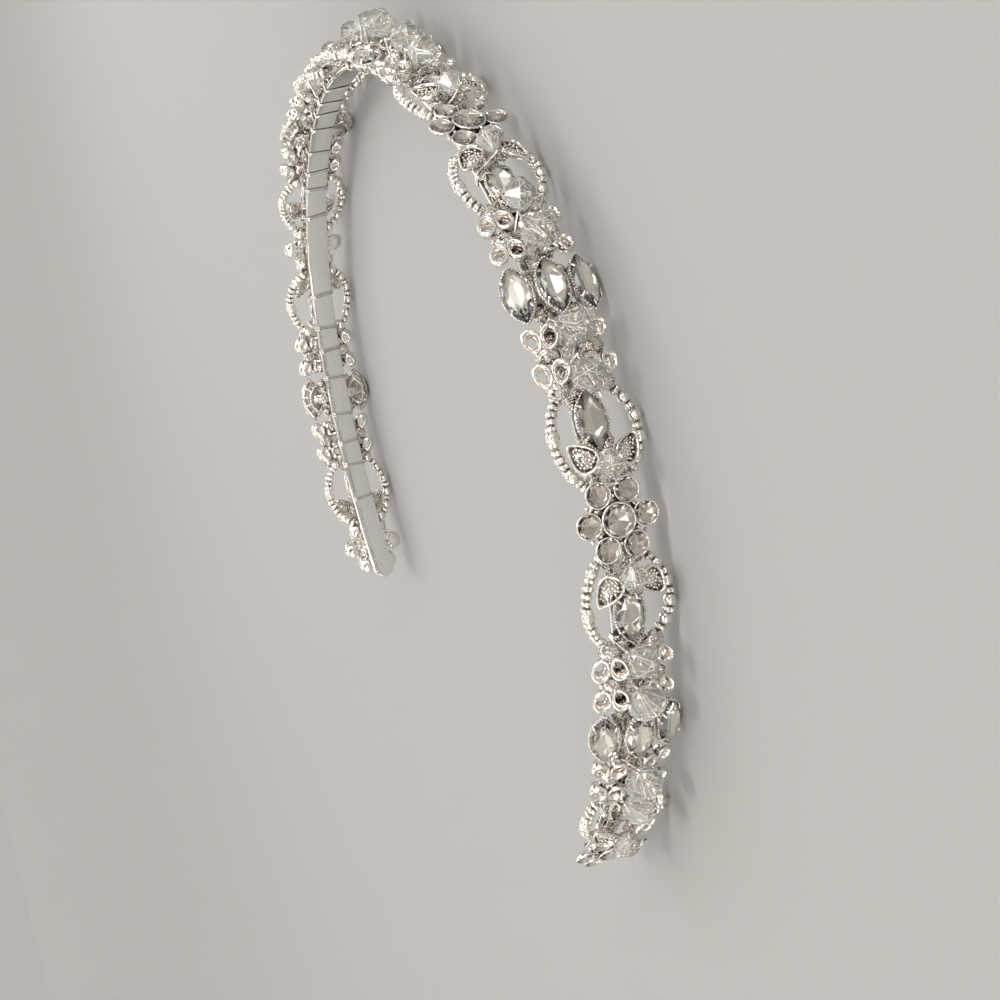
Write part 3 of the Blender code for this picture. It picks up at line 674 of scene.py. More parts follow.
def circle(radius, count, offset=0.0):
    angles = [2 * math.pi * (i + offset) / count for i in range(count)]
    return [(radius * math.cos(angle), radius * math.sin(angle)) for angle in angles]


def marquise(length, width, count, offset=0.0):
    """Pointed oval of two arcs, its points evenly turned."""
    half, rise = length / 2, width / 2
    radius = (half ** 2 + rise ** 2) / (2 * rise)
    reach = math.asin(half / radius)
    outline = []
    for i in range(count):
        share = 4 * ((i + offset) % count) / count
        side = 1 if share < 2 else -1
        angle = reach * (1 - (share if side > 0 else share - 2)) * side
        outline.append((radius * math.sin(angle), side * (radius * math.cos(angle) - radius + rise)))
    return outline


print("outline helpers ready")


# %% Cut stones and joined pieces
ONE_FACET = math.radians(1)    # faces that turn by less than this become one facet


def cut_stone(name, rings, seed, keep=lambda face: True):
    """Hull of rings of points, with a tone per facet for painted light and shade; keep chooses the facets
    that stay.
    """
    shape = bmesh.new()
    for ring in rings:
        for place in ring:
            shape.verts.new(place)
    hull = bmesh.ops.convex_hull(shape, input=shape.verts)
    inside = [v for v in hull["geom_interior"] if isinstance(v, bmesh.types.BMVert)]
    bmesh.ops.delete(shape, geom=inside)
    bmesh.ops.dissolve_limit(shape, angle_limit=ONE_FACET, verts=shape.verts, edges=shape.edges)
    bmesh.ops.recalc_face_normals(shape, faces=shape.faces)
    bmesh.ops.delete(shape, geom=[face for face in shape.faces if not keep(face)], context="FACES")
    tone = shape.faces.layers.float.new("facet")
    draw = random.Random(seed)
    for face in shape.faces:
        face[tone] = draw.random()
    return finished(name, shape)


def join(name, layers):
    """One mesh from several, each keeping its own finishes."""
    shape = bmesh.new()
    for label in ("facet", "edge"):
        shape.faces.layers.float.new(label)
    finishes = []
    for layer in layers:
        before = len(shape.faces)
        shape.from_mesh(layer)
        shape.faces.ensure_lookup_table()
        for face in shape.faces[before:]:
            finish = layer.materials[face.material_index]
            if finish not in finishes:
                finishes.append(finish)
            face.material_index = finishes.index(finish)
    mesh = bpy.data.meshes.new(name)
    shape.to_mesh(mesh)
    shape.free()
    for finish in finishes:
        mesh.materials.append(finish)
    return mesh


DONE = []


def put_on(name, layers, slot, *nodes):
    """A finished piece: joined, at the origin, standing for its CAD nodes."""
    DONE.append((new_object(name, join(name, layers)), slot, nodes))


print("joining helpers ready")

# %% [markdown]
# ## The strip
# A real strip is cut from sheet with its edges rounded off, and ends in bare tongues. A lofted
# section with rounded corners gives soft edges that catch a line of light.

# %% Polished strip
EDGE_ROUND, MOST_ROUND = 0.00028, (0.8, 0.45)    # the most as shares of half the width and the height
BAR_STEP, STRIP_STEP = 0.0016, 0.0005
LEAST_TONGUE = 0.16


def soft_section(half_width, low, high, round_by=EDGE_ROUND):
    """Rectangle with rounded corners, as (across, out)."""
    section = []
    for side, end, first in ((1, high, 0), (-1, high, 90), (-1, low, 180), (1, low, 270)):
        middle = (side * (half_width - round_by), end - math.copysign(round_by, end - (low + high) / 2))
        for step in (0, 30, 60, 90):
            angle = math.radians(first + step)
            section.append((middle[0] + round_by * math.cos(angle), middle[1] + round_by * math.sin(angle)))
    return section


def along_band(start, end, half_width, low, high, step=BAR_STEP, width_at=lambda along: 1.0):
    """Bar that follows the strip between two places."""
    count = max(2, math.ceil((end - start) / step))
    sections = []
    for i in range(count + 1):
        along = start + (end - start) * i / count
        half = half_width * width_at(along)
        round_by = min(EDGE_ROUND, half * MOST_ROUND[0], (high - low) * MOST_ROUND[1])
        section = soft_section(half, low, high, round_by)
        sections.append([point(along, across, out) for across, out in section])
    return loft(sections)


def tongue_width(along):
    """The strip is rounded off over its last few millimetres."""
    past = abs(along) - (HALF_LENGTH - TIP_ROUND)
    return 1.0 if past <= 0 else max(LEAST_TONGUE, math.sqrt(max(0.0, 1 - (past / TIP_ROUND) ** 2)))


bar = along_band(-HALF_LENGTH, HALF_LENGTH, BAND_WIDTH / 2, -BAND_THICKNESS, 0.0, STRIP_STEP, tongue_width)
strip = finished("strip", bar, True, STRIP_SILVER)
put_on("band_strip", [strip], "silver_band", "band")
print("strip", len(strip.polygons), "faces")

# %% [markdown]
# ## Cut stones
# A marquise is a boat-shaped stone with a long table; a chaton is its round cousin. Both are
# silvered behind, so light that goes in through the facets comes back out: the glass is a closed
# cut body, and the silvering is a thin open shell just under its pavilion.

# %% Marquise and round stones
NAVETTE_LENGTH, NAVETTE_WIDTH, NAVETTE_HEIGHT = 0.0100, 0.0050, 0.0024
FLOWER_STONE, PETAL_STONE = 0.0054, 0.0040
MARQUISE_CUT = ((8, 0.0, 0.50, 0.46), (8, 0.5, 0.80, 0.30), (16, 0.0, 1.0, 0.07), (16, 0.0, 1.0, 0.0),
                (16, 0.5, 0.88, -0.09), (8, 0.5, 0.66, -0.22))    # corners, turn, reach and height
ROUND_CUT = ((8, 0.0, 0.54, 0.16), (8, 0.5, 0.80, 0.11), (16, 0.0, 1.0, 0.02), (16, 0.0, 1.0, 0.0),
             (16, 0.5, 0.86, -0.04), (8, 0.5, 0.62, -0.09))
KEEL_REACH, KEEL_DEPTH, POINT_DEPTH = 0.36, 0.36, 0.165
FOIL_FIRST_RING, FOIL_GROW, FOIL_TOP = 3, 1.04, -0.00002


def marquise_rings(grow):
    """Rings of points from the table down to the two ends of the keel."""
    length, width = NAVETTE_LENGTH * grow, NAVETTE_WIDTH * grow
    rings = [level(marquise(length, width, corners, turn), reach, height * NAVETTE_HEIGHT)
             for corners, turn, reach, height in MARQUISE_CUT]
    keel = [(x * KEEL_REACH, 0.0, -KEEL_DEPTH * NAVETTE_HEIGHT * grow) for x in (-length / 2, length / 2)]
    return rings + [keel]


def round_rings(diameter, grow):
    """Rings of points from the table down to the point."""
    radius = diameter / 2 * grow
    rings = [level(circle(radius, corners, turn), reach, height * diameter)
             for corners, turn, reach, height in ROUND_CUT]
    return rings + [[(0, 0, -POINT_DEPTH * diameter * grow)]]


def below_girdle(face):
    return face.calc_center_median().z < FOIL_TOP


def stone_pattern(name, rings_at, seed):
    """Glass body and the silvering under it, as two patterns."""
    body = cut_stone(name, rings_at(1.0), seed)
    shell = cut_stone(name + "_foil", rings_at(FOIL_GROW)[FOIL_FIRST_RING:], seed + 1, below_girdle)
    return as_pattern(name, body), as_pattern(name + "_foil", shell)


MARQUISE = stone_pattern("marquise_stone", marquise_rings, seed=3)
CENTRE_STONE = stone_pattern("centre_stone", lambda grow: round_rings(FLOWER_STONE, grow), seed=5)
PETAL = stone_pattern("petal_stone", lambda grow: round_rings(PETAL_STONE, grow), seed=7)


def stones_at(pattern, spots, silvering=ROSE_FOIL):
    return [seat(pattern[0], spots, STONE_GLASS), seat(pattern[1], spots, silvering)]


print("facets", len(MARQUISE[0].data.polygons), len(PETAL[0].data.polygons))

# %% [markdown]
# ## Claw cups
# The marquises of a trio stand in gallery cups: two rails joined by posts, with light coming in
# between them, and four claws bent over the stone. A row of milled grains runs round the rim.

# %% Gallery cup with claws
CLAW_CUP_WALL = 0.00036
TOP_RAIL = 0.0008
TOP_RAIL_WALL = ((0.90, -TOP_RAIL), (1.0, -0.0002), (0.985, -0.00006), (0.90, -0.00006),
                 (0.84, -0.0003), (0.80, -TOP_RAIL))
FOOT_RAIL_WALL = ((0.62, 0.0), (0.70, 0.0006), (0.58, 0.0006), (0.50, 0.0))
POSTS, POST_SHARES, POST_BOW, POST_RADIUS = 10, (0.62, 0.76, 0.90), 0.55, 0.0003
POST_IN_FOOT, POST_IN_TOP = 0.0002, 0.0003
CLAW_LINE = ((0.94, -0.0012), (1.03, -0.0006), (1.05, 0.0001), (1.00, 0.0005), (0.84, 0.00085))
CLAW_RADIUS = 0.00026
GRAIN_RADIUS, GRAIN_PITCH, GRAIN_HEIGHT = 0.00025, 0.00054, 0.00006
GRAIN_OUT = 0.30    # a share of the wall, out from the stone
RIM_POINTS, CLAW_CORNERS = 48, 8    # every second corner has a claw


def shot_pattern(name, radius, subdivisions):
    shape = bmesh.new()
    bmesh.ops.create_icosphere(shape, subdivisions=subdivisions, radius=radius)
    return as_pattern(name, finished(name, shape, smooth=True))


GRAIN = shot_pattern("grain", GRAIN_RADIUS, subdivisions=1)


def cup_outline(amount, count=32):
    return marquise(NAVETTE_LENGTH + 2 * amount, NAVETTE_WIDTH + 2 * amount, count)


def gallery_cup(depth):
    """Rails, posts, claws and grains of one cup; the stone's girdle is at height 0."""
    rim = cup_outline(CLAW_CUP_WALL)
    foot = [(share, rise - depth) for share, rise in FOOT_RAIL_WALL]
    heights = (-depth + POST_IN_FOOT, -depth * POST_BOW, -TOP_RAIL + POST_IN_TOP)
    posts = [[(x * share, y * share, z) for share, z in zip(POST_SHARES, heights)]
             for x, y in cup_outline(CLAW_CUP_WALL, POSTS)]
    claws = [[(x * share, y * share, z) for share, z in CLAW_LINE]
             for x, y in marquise(NAVETTE_LENGTH, NAVETTE_WIDTH, CLAW_CORNERS)[1::2]]
    grains = [(x, y, GRAIN_HEIGHT) for x, y in cup_outline(CLAW_CUP_WALL * GRAIN_OUT, RIM_POINTS)]
    return [finished("top", ring_wall(rim, TOP_RAIL_WALL), True, CAST_SILVER),
            finished("foot", ring_wall(rim, foot), True, CAST_SILVER),
            wire(posts, POST_RADIUS, CAST_SILVER), wire(claws, CLAW_RADIUS, BRIGHT_SILVER),
            run_tree(path_mesh([grains], closed=True), BEADS_ON_PATH, round_bead=GRAIN, rough_bead=GRAIN,
                     pitch=GRAIN_PITCH, round_every=2, size_change=0.12, seed=4, finish=BEAD_SILVER)]


print("grain", len(GRAIN.data.polygons), "faces")

# %% Cups for each height of stone
RAIL_LOW, RAIL_THICKNESS = 0.0004, 0.0006
RAIL_TOP = RAIL_LOW + RAIL_THICKNESS
SINK = RAIL_THICKNESS / 3
TRIO_SIDE_HEIGHT, TRIO_MID_HEIGHT, LOOP_NAVETTE_HEIGHT = 0.0031, 0.0044, 0.0022
TRIO_SPACING, TRIO_LEAN = 0.0058, math.radians(20)


def kept_patterns(name, layers):
    """One pattern for each finish, so that the seating tree can set it."""
    groups = {}
    for layer in layers:
        finish = layer.materials[layer.polygons[0].material_index]
        groups.setdefault(finish, []).append(layer)
    return [(as_pattern(f"{name}_{finish.name}", join(name, group)), finish)
            for finish, group in groups.items()]


def seat_all(patterns, spots):
    return [seat(pattern, spots, finish) for pattern, finish in patterns]


side_depth = (TRIO_SIDE_HEIGHT - RAIL_TOP) / math.cos(TRIO_LEAN) + SINK
SIDE_CUP = kept_patterns("side_cup", gallery_cup(side_depth))
MID_CUP = kept_patterns("mid_cup", gallery_cup(TRIO_MID_HEIGHT - RAIL_TOP + SINK))
LOOP_CUP = kept_patterns("loop_cup", gallery_cup(LOOP_NAVETTE_HEIGHT - RAIL_TOP + SINK))
print("cup", sum(len(p.data.polygons) for p, _ in MID_CUP), "faces")

# %% [markdown]
# ## Small open flowers
# Beside each trio stand little flowers of two open petals, each a thick-walled drop with a hole
# through it, and one closed, grainy petal. A lofted ring gives the wall its rounded lip, and the
# closed petal is a soft lump with grains sprinkled on it.

# %% Small flower pattern
PETAL_DROP_LENGTH, PETAL_DROP_WIDTH = 0.0044, 0.0031
PETAL_DROP_PLACE, PETAL_DROP_FAN, PETAL_DROP_TILT = (-0.0013, 0.00146, 0.0002), math.radians(14), -0.12
PETAL_DROP_WALL = ((0.72, -0.0014), (0.93, -0.0004), (1.0, 0.0002), (0.98, 0.0005), (0.88, 0.0007),
                   (0.74, 0.00064), (0.58, 0.0002), (0.44, -0.0005), (0.38, -0.0014))
SMALL_FLOWER_LUMPS = (("body", (0.0013, 0, -0.0002), (0.0017, 0.0018, 0.0008)),
                      ("heart", (-0.0003, 0, 0.0), (0.0008, 0.0010, 0.0006)))


def drop_outline(length, width, count=24, point_share=0.30):
    """Drop with its narrow end towards -X; its middle is at 0."""
    outline = []
    for i in range(count):
        turn = 2 * math.pi * i / count
        fullness = 1 - point_share * (1 + math.cos(turn)) / 2
        across = width / 2 * math.sin(turn) * fullness / (1 - point_share / 2)
        outline.append((-length / 2 * math.cos(turn), across))
    return outline


def soft_lump(name, place, radii, subdivisions=2, finish=CAST_SILVER):
    """Rounded lump, which grains may be sprinkled on."""
    shape = bmesh.new()
    bmesh.ops.create_icosphere(shape, subdivisions=subdivisions, radius=1.0)
    bmesh.ops.scale(shape, vec=radii, verts=shape.verts)
    bmesh.ops.translate(shape, vec=place, verts=shape.verts)
    return finished(name, shape, True, finish)


def open_petal(side):
    petal = ring_wall(drop_outline(PETAL_DROP_LENGTH, PETAL_DROP_WIDTH), PETAL_DROP_WALL)
    along, across, out = PETAL_DROP_PLACE
    bmesh.ops.transform(petal, verts=petal.verts, matrix=Matrix.Translation((along, side * across, out))
                        @ Matrix.Rotation(math.pi - side * PETAL_DROP_FAN, 4, "Z")
                        @ Matrix.Rotation(PETAL_DROP_TILT, 4, "Y"))
    return finished("petal", petal, True, BRIGHT_SILVER)


lumps = join("lumps", [soft_lump(*row) for row in SMALL_FLOWER_LUMPS])
closed_petal = run_tree(lumps, GRAINS_ON_CASTING, grain=0.00050, gap=0.00040, least=0.6, seed=3,
                        finish=CAST_SILVER)
SMALL_FLOWER = kept_patterns("small_flower", [open_petal(-1), open_petal(1), closed_petal])
print("small flower", sum(len(p.data.polygons) for p, _ in SMALL_FLOWER), "faces")

# %% Clusters of shot, and where the small flowers stand
TREFOIL_ACROSS, TREFOIL_HEIGHT = {-1: 0.0045, 1: 0.0037}, 0.0028
TREFOIL_LEAN = math.radians(15)
TREFOIL_PLACES = (0.242, 0.397)
LUMP_RADII, LUMP_LEAN, LUMP_TURN = (0.0014, 0.0011, 0.0007), 0.3, 1.3
BOTH = (-1, 1)

shot = run_tree(soft_lump("lump", (0, 0, 0), LUMP_RADII, subdivisions=1), GRAINS_ON_CASTING,
                grain=0.00062, gap=0.00048, least=0.6, seed=5, finish=CAST_SILVER)
LUMP = kept_patterns("granulated_lump", [shot])


def lump_spots(start, way, rows):
    """Lumps on both sides of a rail, at these places along, across and out."""
    return [spot(start + way * along, side * across, out, LUMP_LEAN, LUMP_TURN * number + side)
            for number, (along, across, out) in rows for side in BOTH]


def small_flower_feet(trio):
    """Place along and side of the eight small flowers round a trio, and the way that they face."""
    return [(trio + way * place * GROUP_PITCH, side, way) for way in (1, -1) for place in TREFOIL_PLACES
            for side in BOTH]


print("cluster", sum(len(p.data.polygons) for p, _ in LUMP), "faces")

# %% [markdown]
# ## Leaves
# A pair of pointed leaves holds each loop marquise. Each has a raised, rounded wall round a field
# of tiny set stones, which read as bright grains.

# %% Leaf pattern
LEAF_LENGTH, LEAF_WIDTH, LEAF_THICKNESS = 0.0060, 0.0041, 0.0009
LEAF_POINT, FIELD_SHARE, FIELD_DEPTH = 0.62, 0.82, 0.0004
LEAF_WALL = ((0.86, -0.00045), (0.97, -0.0001), (1.0, 0.00035), (0.97, 0.00062), (0.90, 0.00066),
             (0.83, 0.00052), (0.79, 0.0001), (0.74, -0.00045))

outline = [(-x, y) for x, y in drop_outline(LEAF_LENGTH, LEAF_WIDTH, count=28, point_share=LEAF_POINT)]
wall = finished("wall", ring_wall(outline, LEAF_WALL), True, BRIGHT_SILVER)
low = -LEAF_THICKNESS / 2
plate = loft([level(outline, FIELD_SHARE, low), level(outline, FIELD_SHARE, low + FIELD_DEPTH)])
field = finished("field", plate, finish=BRIGHT_SILVER)
pave = run_tree(field, GRAINS_ON_CASTING, grain=0.00066, gap=0.00046, least=0.75, seed=9,
                finish=BRIGHT_SILVER)
LEAF = kept_patterns("leaf", [wall, pave])
print("leaf", sum(len(p.data.polygons) for p, _ in LEAF), "faces")

# %% [markdown]
# ## Crystal beads
# Each crystal is a bicone with long narrow facets from hole to hole. A cut edge is never quite
# sharp, so every edge gets a narrow bevel, and about a third of the bevels get a whitish finish of
# their own that paints highlights on them as thin white lines.

# %% Crystal patterns
LARGE_CRYSTAL, LARGE_CRYSTAL_LENGTH = 0.0066, 0.0068
SMALL_CRYSTAL, SMALL_CRYSTAL_LENGTH = 0.0060, 0.0060
LEAF_CRYSTAL, LEAF_CRYSTAL_LENGTH = 0.0048, 0.0052
FACET_COLUMNS, EDGE_BEVEL, HIGHLIT_EDGE_SHARE = 10, 0.00005, 0.35
CRYSTAL_CUT = ((-0.5, 0.14, 0.5), (-0.42, 0.40, 0.0), (-0.07, 1.0, 0.0), (0.07, 1.0, 0.5),
               (0.42, 0.40, 0.5), (0.5, 0.14, 0.0))    # place along, share of the girdle, turn


def crystal(name, diameter, length, seed):
    """Cut bead with its axis along X; some bevelled edges are marked for a finish with painted highlights.
    """
    girdle = diameter / 2
    rings = [[(place * length, y, z) for y, z in circle(girdle * share, FACET_COLUMNS, turn)]
             for place, share, turn in CRYSTAL_CUT]
    shape = bmesh.new()
    shape.from_mesh(cut_stone(name, rings, seed))
    edge = shape.faces.layers.float.new("edge")
    cut = bmesh.ops.bevel(shape, geom=shape.edges[:], offset=EDGE_BEVEL, segments=1, affect="EDGES")
    draw = random.Random(seed)
    for face in cut["faces"]:
        face[edge] = float(draw.random() < HIGHLIT_EDGE_SHARE)
    return as_pattern(name, finished(name, shape))


LARGE = crystal("large_crystal", LARGE_CRYSTAL, LARGE_CRYSTAL_LENGTH, seed=11)
SMALL = crystal("small_crystal", SMALL_CRYSTAL, SMALL_CRYSTAL_LENGTH, seed=12)
LEAFLET = crystal("leaf_crystal", LEAF_CRYSTAL, LEAF_CRYSTAL_LENGTH, seed=13)
print("crystal", len(LARGE.data.polygons), "facets and edges")

# %% [markdown]
# ## Flowers of round stones
# Six petals stand round a larger stone. Each stone sits in a spun cup whose thin lip is pressed
# over it, and shots of solder fill the corners between the cups.

# %% Spun cups and solder shots
CUP_WALL, CUP_SIDES = 0.00035, 28
CUP_OUTSIDE = ((0.62, -1.0), (0.94, -0.35))    # share of the rim, and height in depths
CUP_INSIDE = ((0.8, -0.6), (0.62 * 0.8, -0.8))
CUP_LIP = ((0.0, -0.0001), (0.00006, 0.00012), (-0.00004, 0.00026), (-0.00018, 0.00026),
           (-0.00028, 0.00014), (-0.00030, -0.0001))    # out from the rim, and height
FLOWER_HEIGHT, PETAL_HEIGHT, PETAL_CUP_DEPTH = 0.0037, 0.0032, 0.0010
SOLDER_RADII = (0.00036, 0.00036, 0.00030)


def spun_cup(name, diameter, depth):
    """Cup with a rounded lip over the edge of its stone."""
    rim = diameter / 2 + CUP_WALL / 2
    outside, inside = ([(rim * share, depth * fall) for share, fall in wall]
                       for wall in (CUP_OUTSIDE, CUP_INSIDE))
    profile = outside + [(rim + out, height) for out, height in CUP_LIP] + inside
    sections = [level(circle(radius, CUP_SIDES), 1.0, height) for radius, height in profile]
    return as_pattern(name, finished(name, loft(sections), smooth=True))


CENTRE_CUP = spun_cup("centre_cup", FLOWER_STONE, FLOWER_HEIGHT - RAIL_TOP + SINK)
PETAL_CUP = spun_cup("petal_cup", PETAL_STONE, PETAL_CUP_DEPTH)
SOLDER = as_pattern("solder_shot", soft_lump("solder_shot", (0, 0, 0), SOLDER_RADII, finish=None))
print("spun cup", len(PETAL_CUP.data.polygons), "faces")

# %% Stones and cups of a flower
PETALS = 6
PETAL_RING = (FLOWER_STONE + PETAL_STONE + CUP_WALL) / 2
HUB_REACH, HUB_THICKNESS, HUB_SIDES = 0.0044, 0.0006, 24
HUB_TOP = PETAL_HEIGHT - PETAL_CUP_DEPTH + HUB_THICKNESS / 3
PETAL_FIRST, SHOT_FIRST = 1.5, 1.0    # where the first one stands, in sixths of a turn
SHOT_RINGS = ((0.0037, 0.0001), (0.0052, 0.0006))    # reach, and depth under the petals' girdles


def ring_spots(middle, reach, height, first, turned=False):
    """Six places round the middle of a flower."""
    angles = [2 * math.pi * (i + first) / PETALS for i in range(PETALS)]
    return [spot(middle + reach * math.cos(a), reach * math.sin(a), height, turn=a if turned else 0.0)
            for a in angles]


def petal_spots(middle):
    return ring_spots(middle, PETAL_RING, PETAL_HEIGHT, PETAL_FIRST, turned=True)


def flower_stones(middle):
    return stones_at(PETAL, petal_spots(middle)) + stones_at(CENTRE_STONE, [spot(middle, 0, FLOWER_HEIGHT)])


def flower_cups(middle):
    shots = []
    for reach, drop in SHOT_RINGS:
        shots += ring_spots(middle, reach, PETAL_HEIGHT - drop, SHOT_FIRST)
    disc = [level(circle(HUB_REACH, HUB_SIDES), 1.0, height)
            for height in (HUB_TOP - HUB_THICKNESS, HUB_TOP)]
    hub = finished("hub", loft(disc), finish=CAST_SILVER)
    hub.transform(spot(middle))
    return [seat(PETAL_CUP, petal_spots(middle), BRIGHT_SILVER),
            seat(CENTRE_CUP, [spot(middle, 0, FLOWER_HEIGHT)], BRIGHT_SILVER),
            seat(SOLDER, shots, BEAD_SILVER), hub]


print("petals stand", in_mm([PETAL_RING])[0], "mm from the middle")

# %% [markdown]
# ## Rails, stems and wires
# A cast rail carries each group, and thin wire lashes it to the strip. The crystals are threaded
# on wire that comes up over one edge of the strip and goes down over the other.

# %% Rails and stems
RAIL_WIDTH, CROSS_BAR_WIDTH = 0.0028, 0.0022
RAIL_CORE = RAIL_LOW + RAIL_THICKNESS / 2
STEM_RADIUS = 0.00040
STEM_BOW, STEM_RISE = 0.62, 0.32    # how far out and up a stem is where it bows


def rail(start, end):
    bar = along_band(start, end, RAIL_WIDTH / 2, RAIL_LOW, RAIL_TOP)
    return finished("rail", bar, True, CAST_SILVER)


def stem(along, across, out, side):
    """Stem from the edge of a rail, bowed out to a leaf or a small flower."""
    root = point(along, side * RAIL_WIDTH / 3, RAIL_CORE)
    bow = point(along, side * (across * STEM_BOW + RAIL_WIDTH / 6),
                RAIL_CORE + (out - RAIL_CORE) * STEM_RISE)
    return [root, bow, point(along, side * across, out)]


print("rail", in_mm([RAIL_WIDTH, RAIL_THICKNESS]), "mm")

# %% Lashing wire
LASHING_RADIUS, LASHING_TURNS, LASHING_PITCH = 0.00015, 3.0, 0.00036

low, top = -BAND_THICKNESS - LASHING_RADIUS, RAIL_TOP + LASHING_RADIUS
no_path = path_mesh([])    # the tree draws its own line
coil = run_tree(no_path, WIRE_ROUND_STRIP, turns=LASHING_TURNS, pitch=LASHING_PITCH,
                radius=LASHING_RADIUS, width=BAND_WIDTH + 2 * LASHING_RADIUS, height=top - low,
                middle=(top + low) / 2, finish=BRIGHT_SILVER)
LASHING = as_pattern("lashing", coil)


def laced(start, way, rows):
    """Lashings at these shares of the pitch, each with its slant."""
    return [spot(start + way * share * GROUP_PITCH, turn=slant) for share, slant in rows]


print("lashing", len(LASHING.data.polygons), "faces")

# %% Wire through a crystal
WIRE_RADIUS = 0.00021
WIRE_LOW, WIRE_HIGH = -0.0008, 0.0012    # the ends, under the strip's face and over it
HOLE_REACH, WIRE_REACH, WIRE_SAG = 0.5, 0.62, -0.0002
LINE_SPAN = 5    # points from one knot to the next


def smooth_line(knots):
    """Curve through the knots."""
    line = []
    ends = [knots[0]] + list(knots) + [knots[-1]]
    for i in range(len(knots) - 1):
        a, b, c, d = ends[i:i + 4]
        for step in range(LINE_SPAN):
            t = step / LINE_SPAN
            line.append(0.5 * (2 * b + (c - a) * t + (2 * a - 5 * b + 4 * c - d) * t ** 2
                               + (3 * b - a - 3 * c + d) * t ** 3))
    return line + [knots[-1]]


def threaded(here, length, along, reach):
    """Wire from one edge of the strip, through a crystal, to the other edge."""
    first, last = (here @ Vector((side * length * HOLE_REACH, 0, 0)) for side in BOTH)
    near, far = (here @ Vector((side * length * WIRE_REACH, 0, WIRE_SAG)) for side in BOTH)
    edge = BAND_WIDTH / 2 + WIRE_RADIUS
    to_strip = band_frame(along).inverted()
    sides = (-1, 1) if (to_strip @ first).y < (to_strip @ last).y else (1, -1)
    start = [point(along - reach, sides[0] * edge, height) for height in (WIRE_LOW, WIRE_HIGH)]
    end = [point(along + reach, sides[1] * edge, height) for height in (WIRE_HIGH, WIRE_LOW)]
    return smooth_line(start + [near, first, last, far] + end)


print("a wire has", len(threaded(spot(0.0), LARGE_CRYSTAL_LENGTH, 0.0, 0.0)), "points")

# %% [markdown]
# ## Build the trios
# Now the patterns are seated. A trio's casting is one piece in the metal, so it is one piece here.

# %% Trio castings and their stones
CLEARANCE = 0.0003
TRIO_RAIL_END = 0.400
STEM_INSET = 0.0012
TRIO_LUMPS = ((0.0034, 0.0029, 0.0018), (0.0072, 0.0023, 0.0016), (0.0118, 0.0025, 0.0017))
TRIO_LACES = ((0.125, 0.10), (0.315, -0.06))


def trio_cup_spots(trio):
    return [spot(trio, side * TRIO_SPACING, TRIO_SIDE_HEIGHT if side else TRIO_MID_HEIGHT,
                 TRIO_LEAN if side else 0.0) for side in (-1, 0, 1)]


def cross_bar(trio):
    """Bar across the strip that carries the three cups."""
    span = TRIO_SPACING - TRIO_SIDE_HEIGHT * math.sin(TRIO_LEAN) + CROSS_BAR_WIDTH / 2
    section = soft_section(CROSS_BAR_WIDTH / 2, RAIL_LOW, RAIL_TOP + CLEARANCE)
    bar = loft([[(x, y, z) for x, z in section] for y in (-span, -span / 2, 0, span / 2, span)])
    mesh = finished("bar", bar, True, CAST_SILVER)
    mesh.transform(band_frame(trio))
    return mesh


def trio_casting(trio):
    upper, middle, lower = trio_cup_spots(trio)
    reach = TRIO_RAIL_END * GROUP_PITCH
    lift = STEM_INSET * math.sin(TREFOIL_LEAN)
    feet = small_flower_feet(trio)
    flowers = [spot(along, side * TREFOIL_ACROSS[side], TREFOIL_HEIGHT, TREFOIL_LEAN,
                    0.0 if way > 0 else math.pi) for along, side, way in feet]
    stems = [stem(along, TREFOIL_ACROSS[side] - STEM_INSET, TREFOIL_HEIGHT + lift, side)
             for along, side, _ in feet]
    lumps, laces = [], []
    for way, first in ((1, 0), (-1, len(TRIO_LUMPS))):
        lumps += lump_spots(trio, way, enumerate(TRIO_LUMPS, first))
        laces += laced(trio, way, TRIO_LACES)
    layers = [rail(trio - reach, trio + reach), cross_bar(trio)]
    layers += seat_all(SIDE_CUP, [upper, lower]) + seat_all(MID_CUP, [middle])
    layers += seat_all(SMALL_FLOWER, flowers) + seat_all(LUMP, lumps)
    return layers + [wire(stems, STEM_RADIUS, CAST_SILVER), seat(LASHING, laces, BRIGHT_SILVER)]


def side_name(number):
    return "crown" if number == 0 else f"{'right' if number > 0 else 'left'}_{abs(number)}"


NUMBERS = range(-GROUPS_PER_SIDE, GROUPS_PER_SIDE + 1)
TRIO_NUMBERS = [number for number in NUMBERS if number % 2 == 0]
for number in TRIO_NUMBERS:
    node = f"trio_{side_name(number)}"
    trio = number * GROUP_PITCH
    put_on(f"{node}_casting", trio_casting(trio), "silver_setting", node)
    for index, place in enumerate(trio_cup_spots(trio), 1):
        put_on(f"{node}_marquise_{index}", stones_at(MARQUISE, [place], WHITE_FOIL), "clear_crystal",
               f"{node}_stone_{index}")
print("trio casting", len(DONE[1][0].data.polygons), "faces")

# %% [markdown]
# ## Build the flowers
# A flower carries its petals and, towards each trio beside it, a pair of leaves, a small crystal
# and the marquise that stands inside the bead chains.

# %% Places round a flower
FLOWER_RAIL_END, NAVETTE_PLACE = 0.550, 0.584
LEAF_ACROSS, LEAF_HEIGHT, LEAF_LEAN = 0.0039, 0.0040, math.radians(16)
LEAF_TURN, LEAF_FROM_FLOWER = math.radians(142), 0.0103
LEAF_CRYSTAL_HEIGHT, LEAF_CRYSTAL_FROM_FLOWER = 0.0059, 0.0086
LEAF_STEM_INSET, LEAF_WIRE_REACH = 0.35 * LEAF_WIDTH, 0.0024
FLOWER_LUMPS = ((0.0064, 0.0024, 0.0020), (0.0092, 0.0022, 0.0024), (0.0122, 0.0018, 0.0018),
                (0.0206, 0.0016, 0.0017))
FLOWER_LACES = ((0.47, 0.08), (0.70, -0.1))


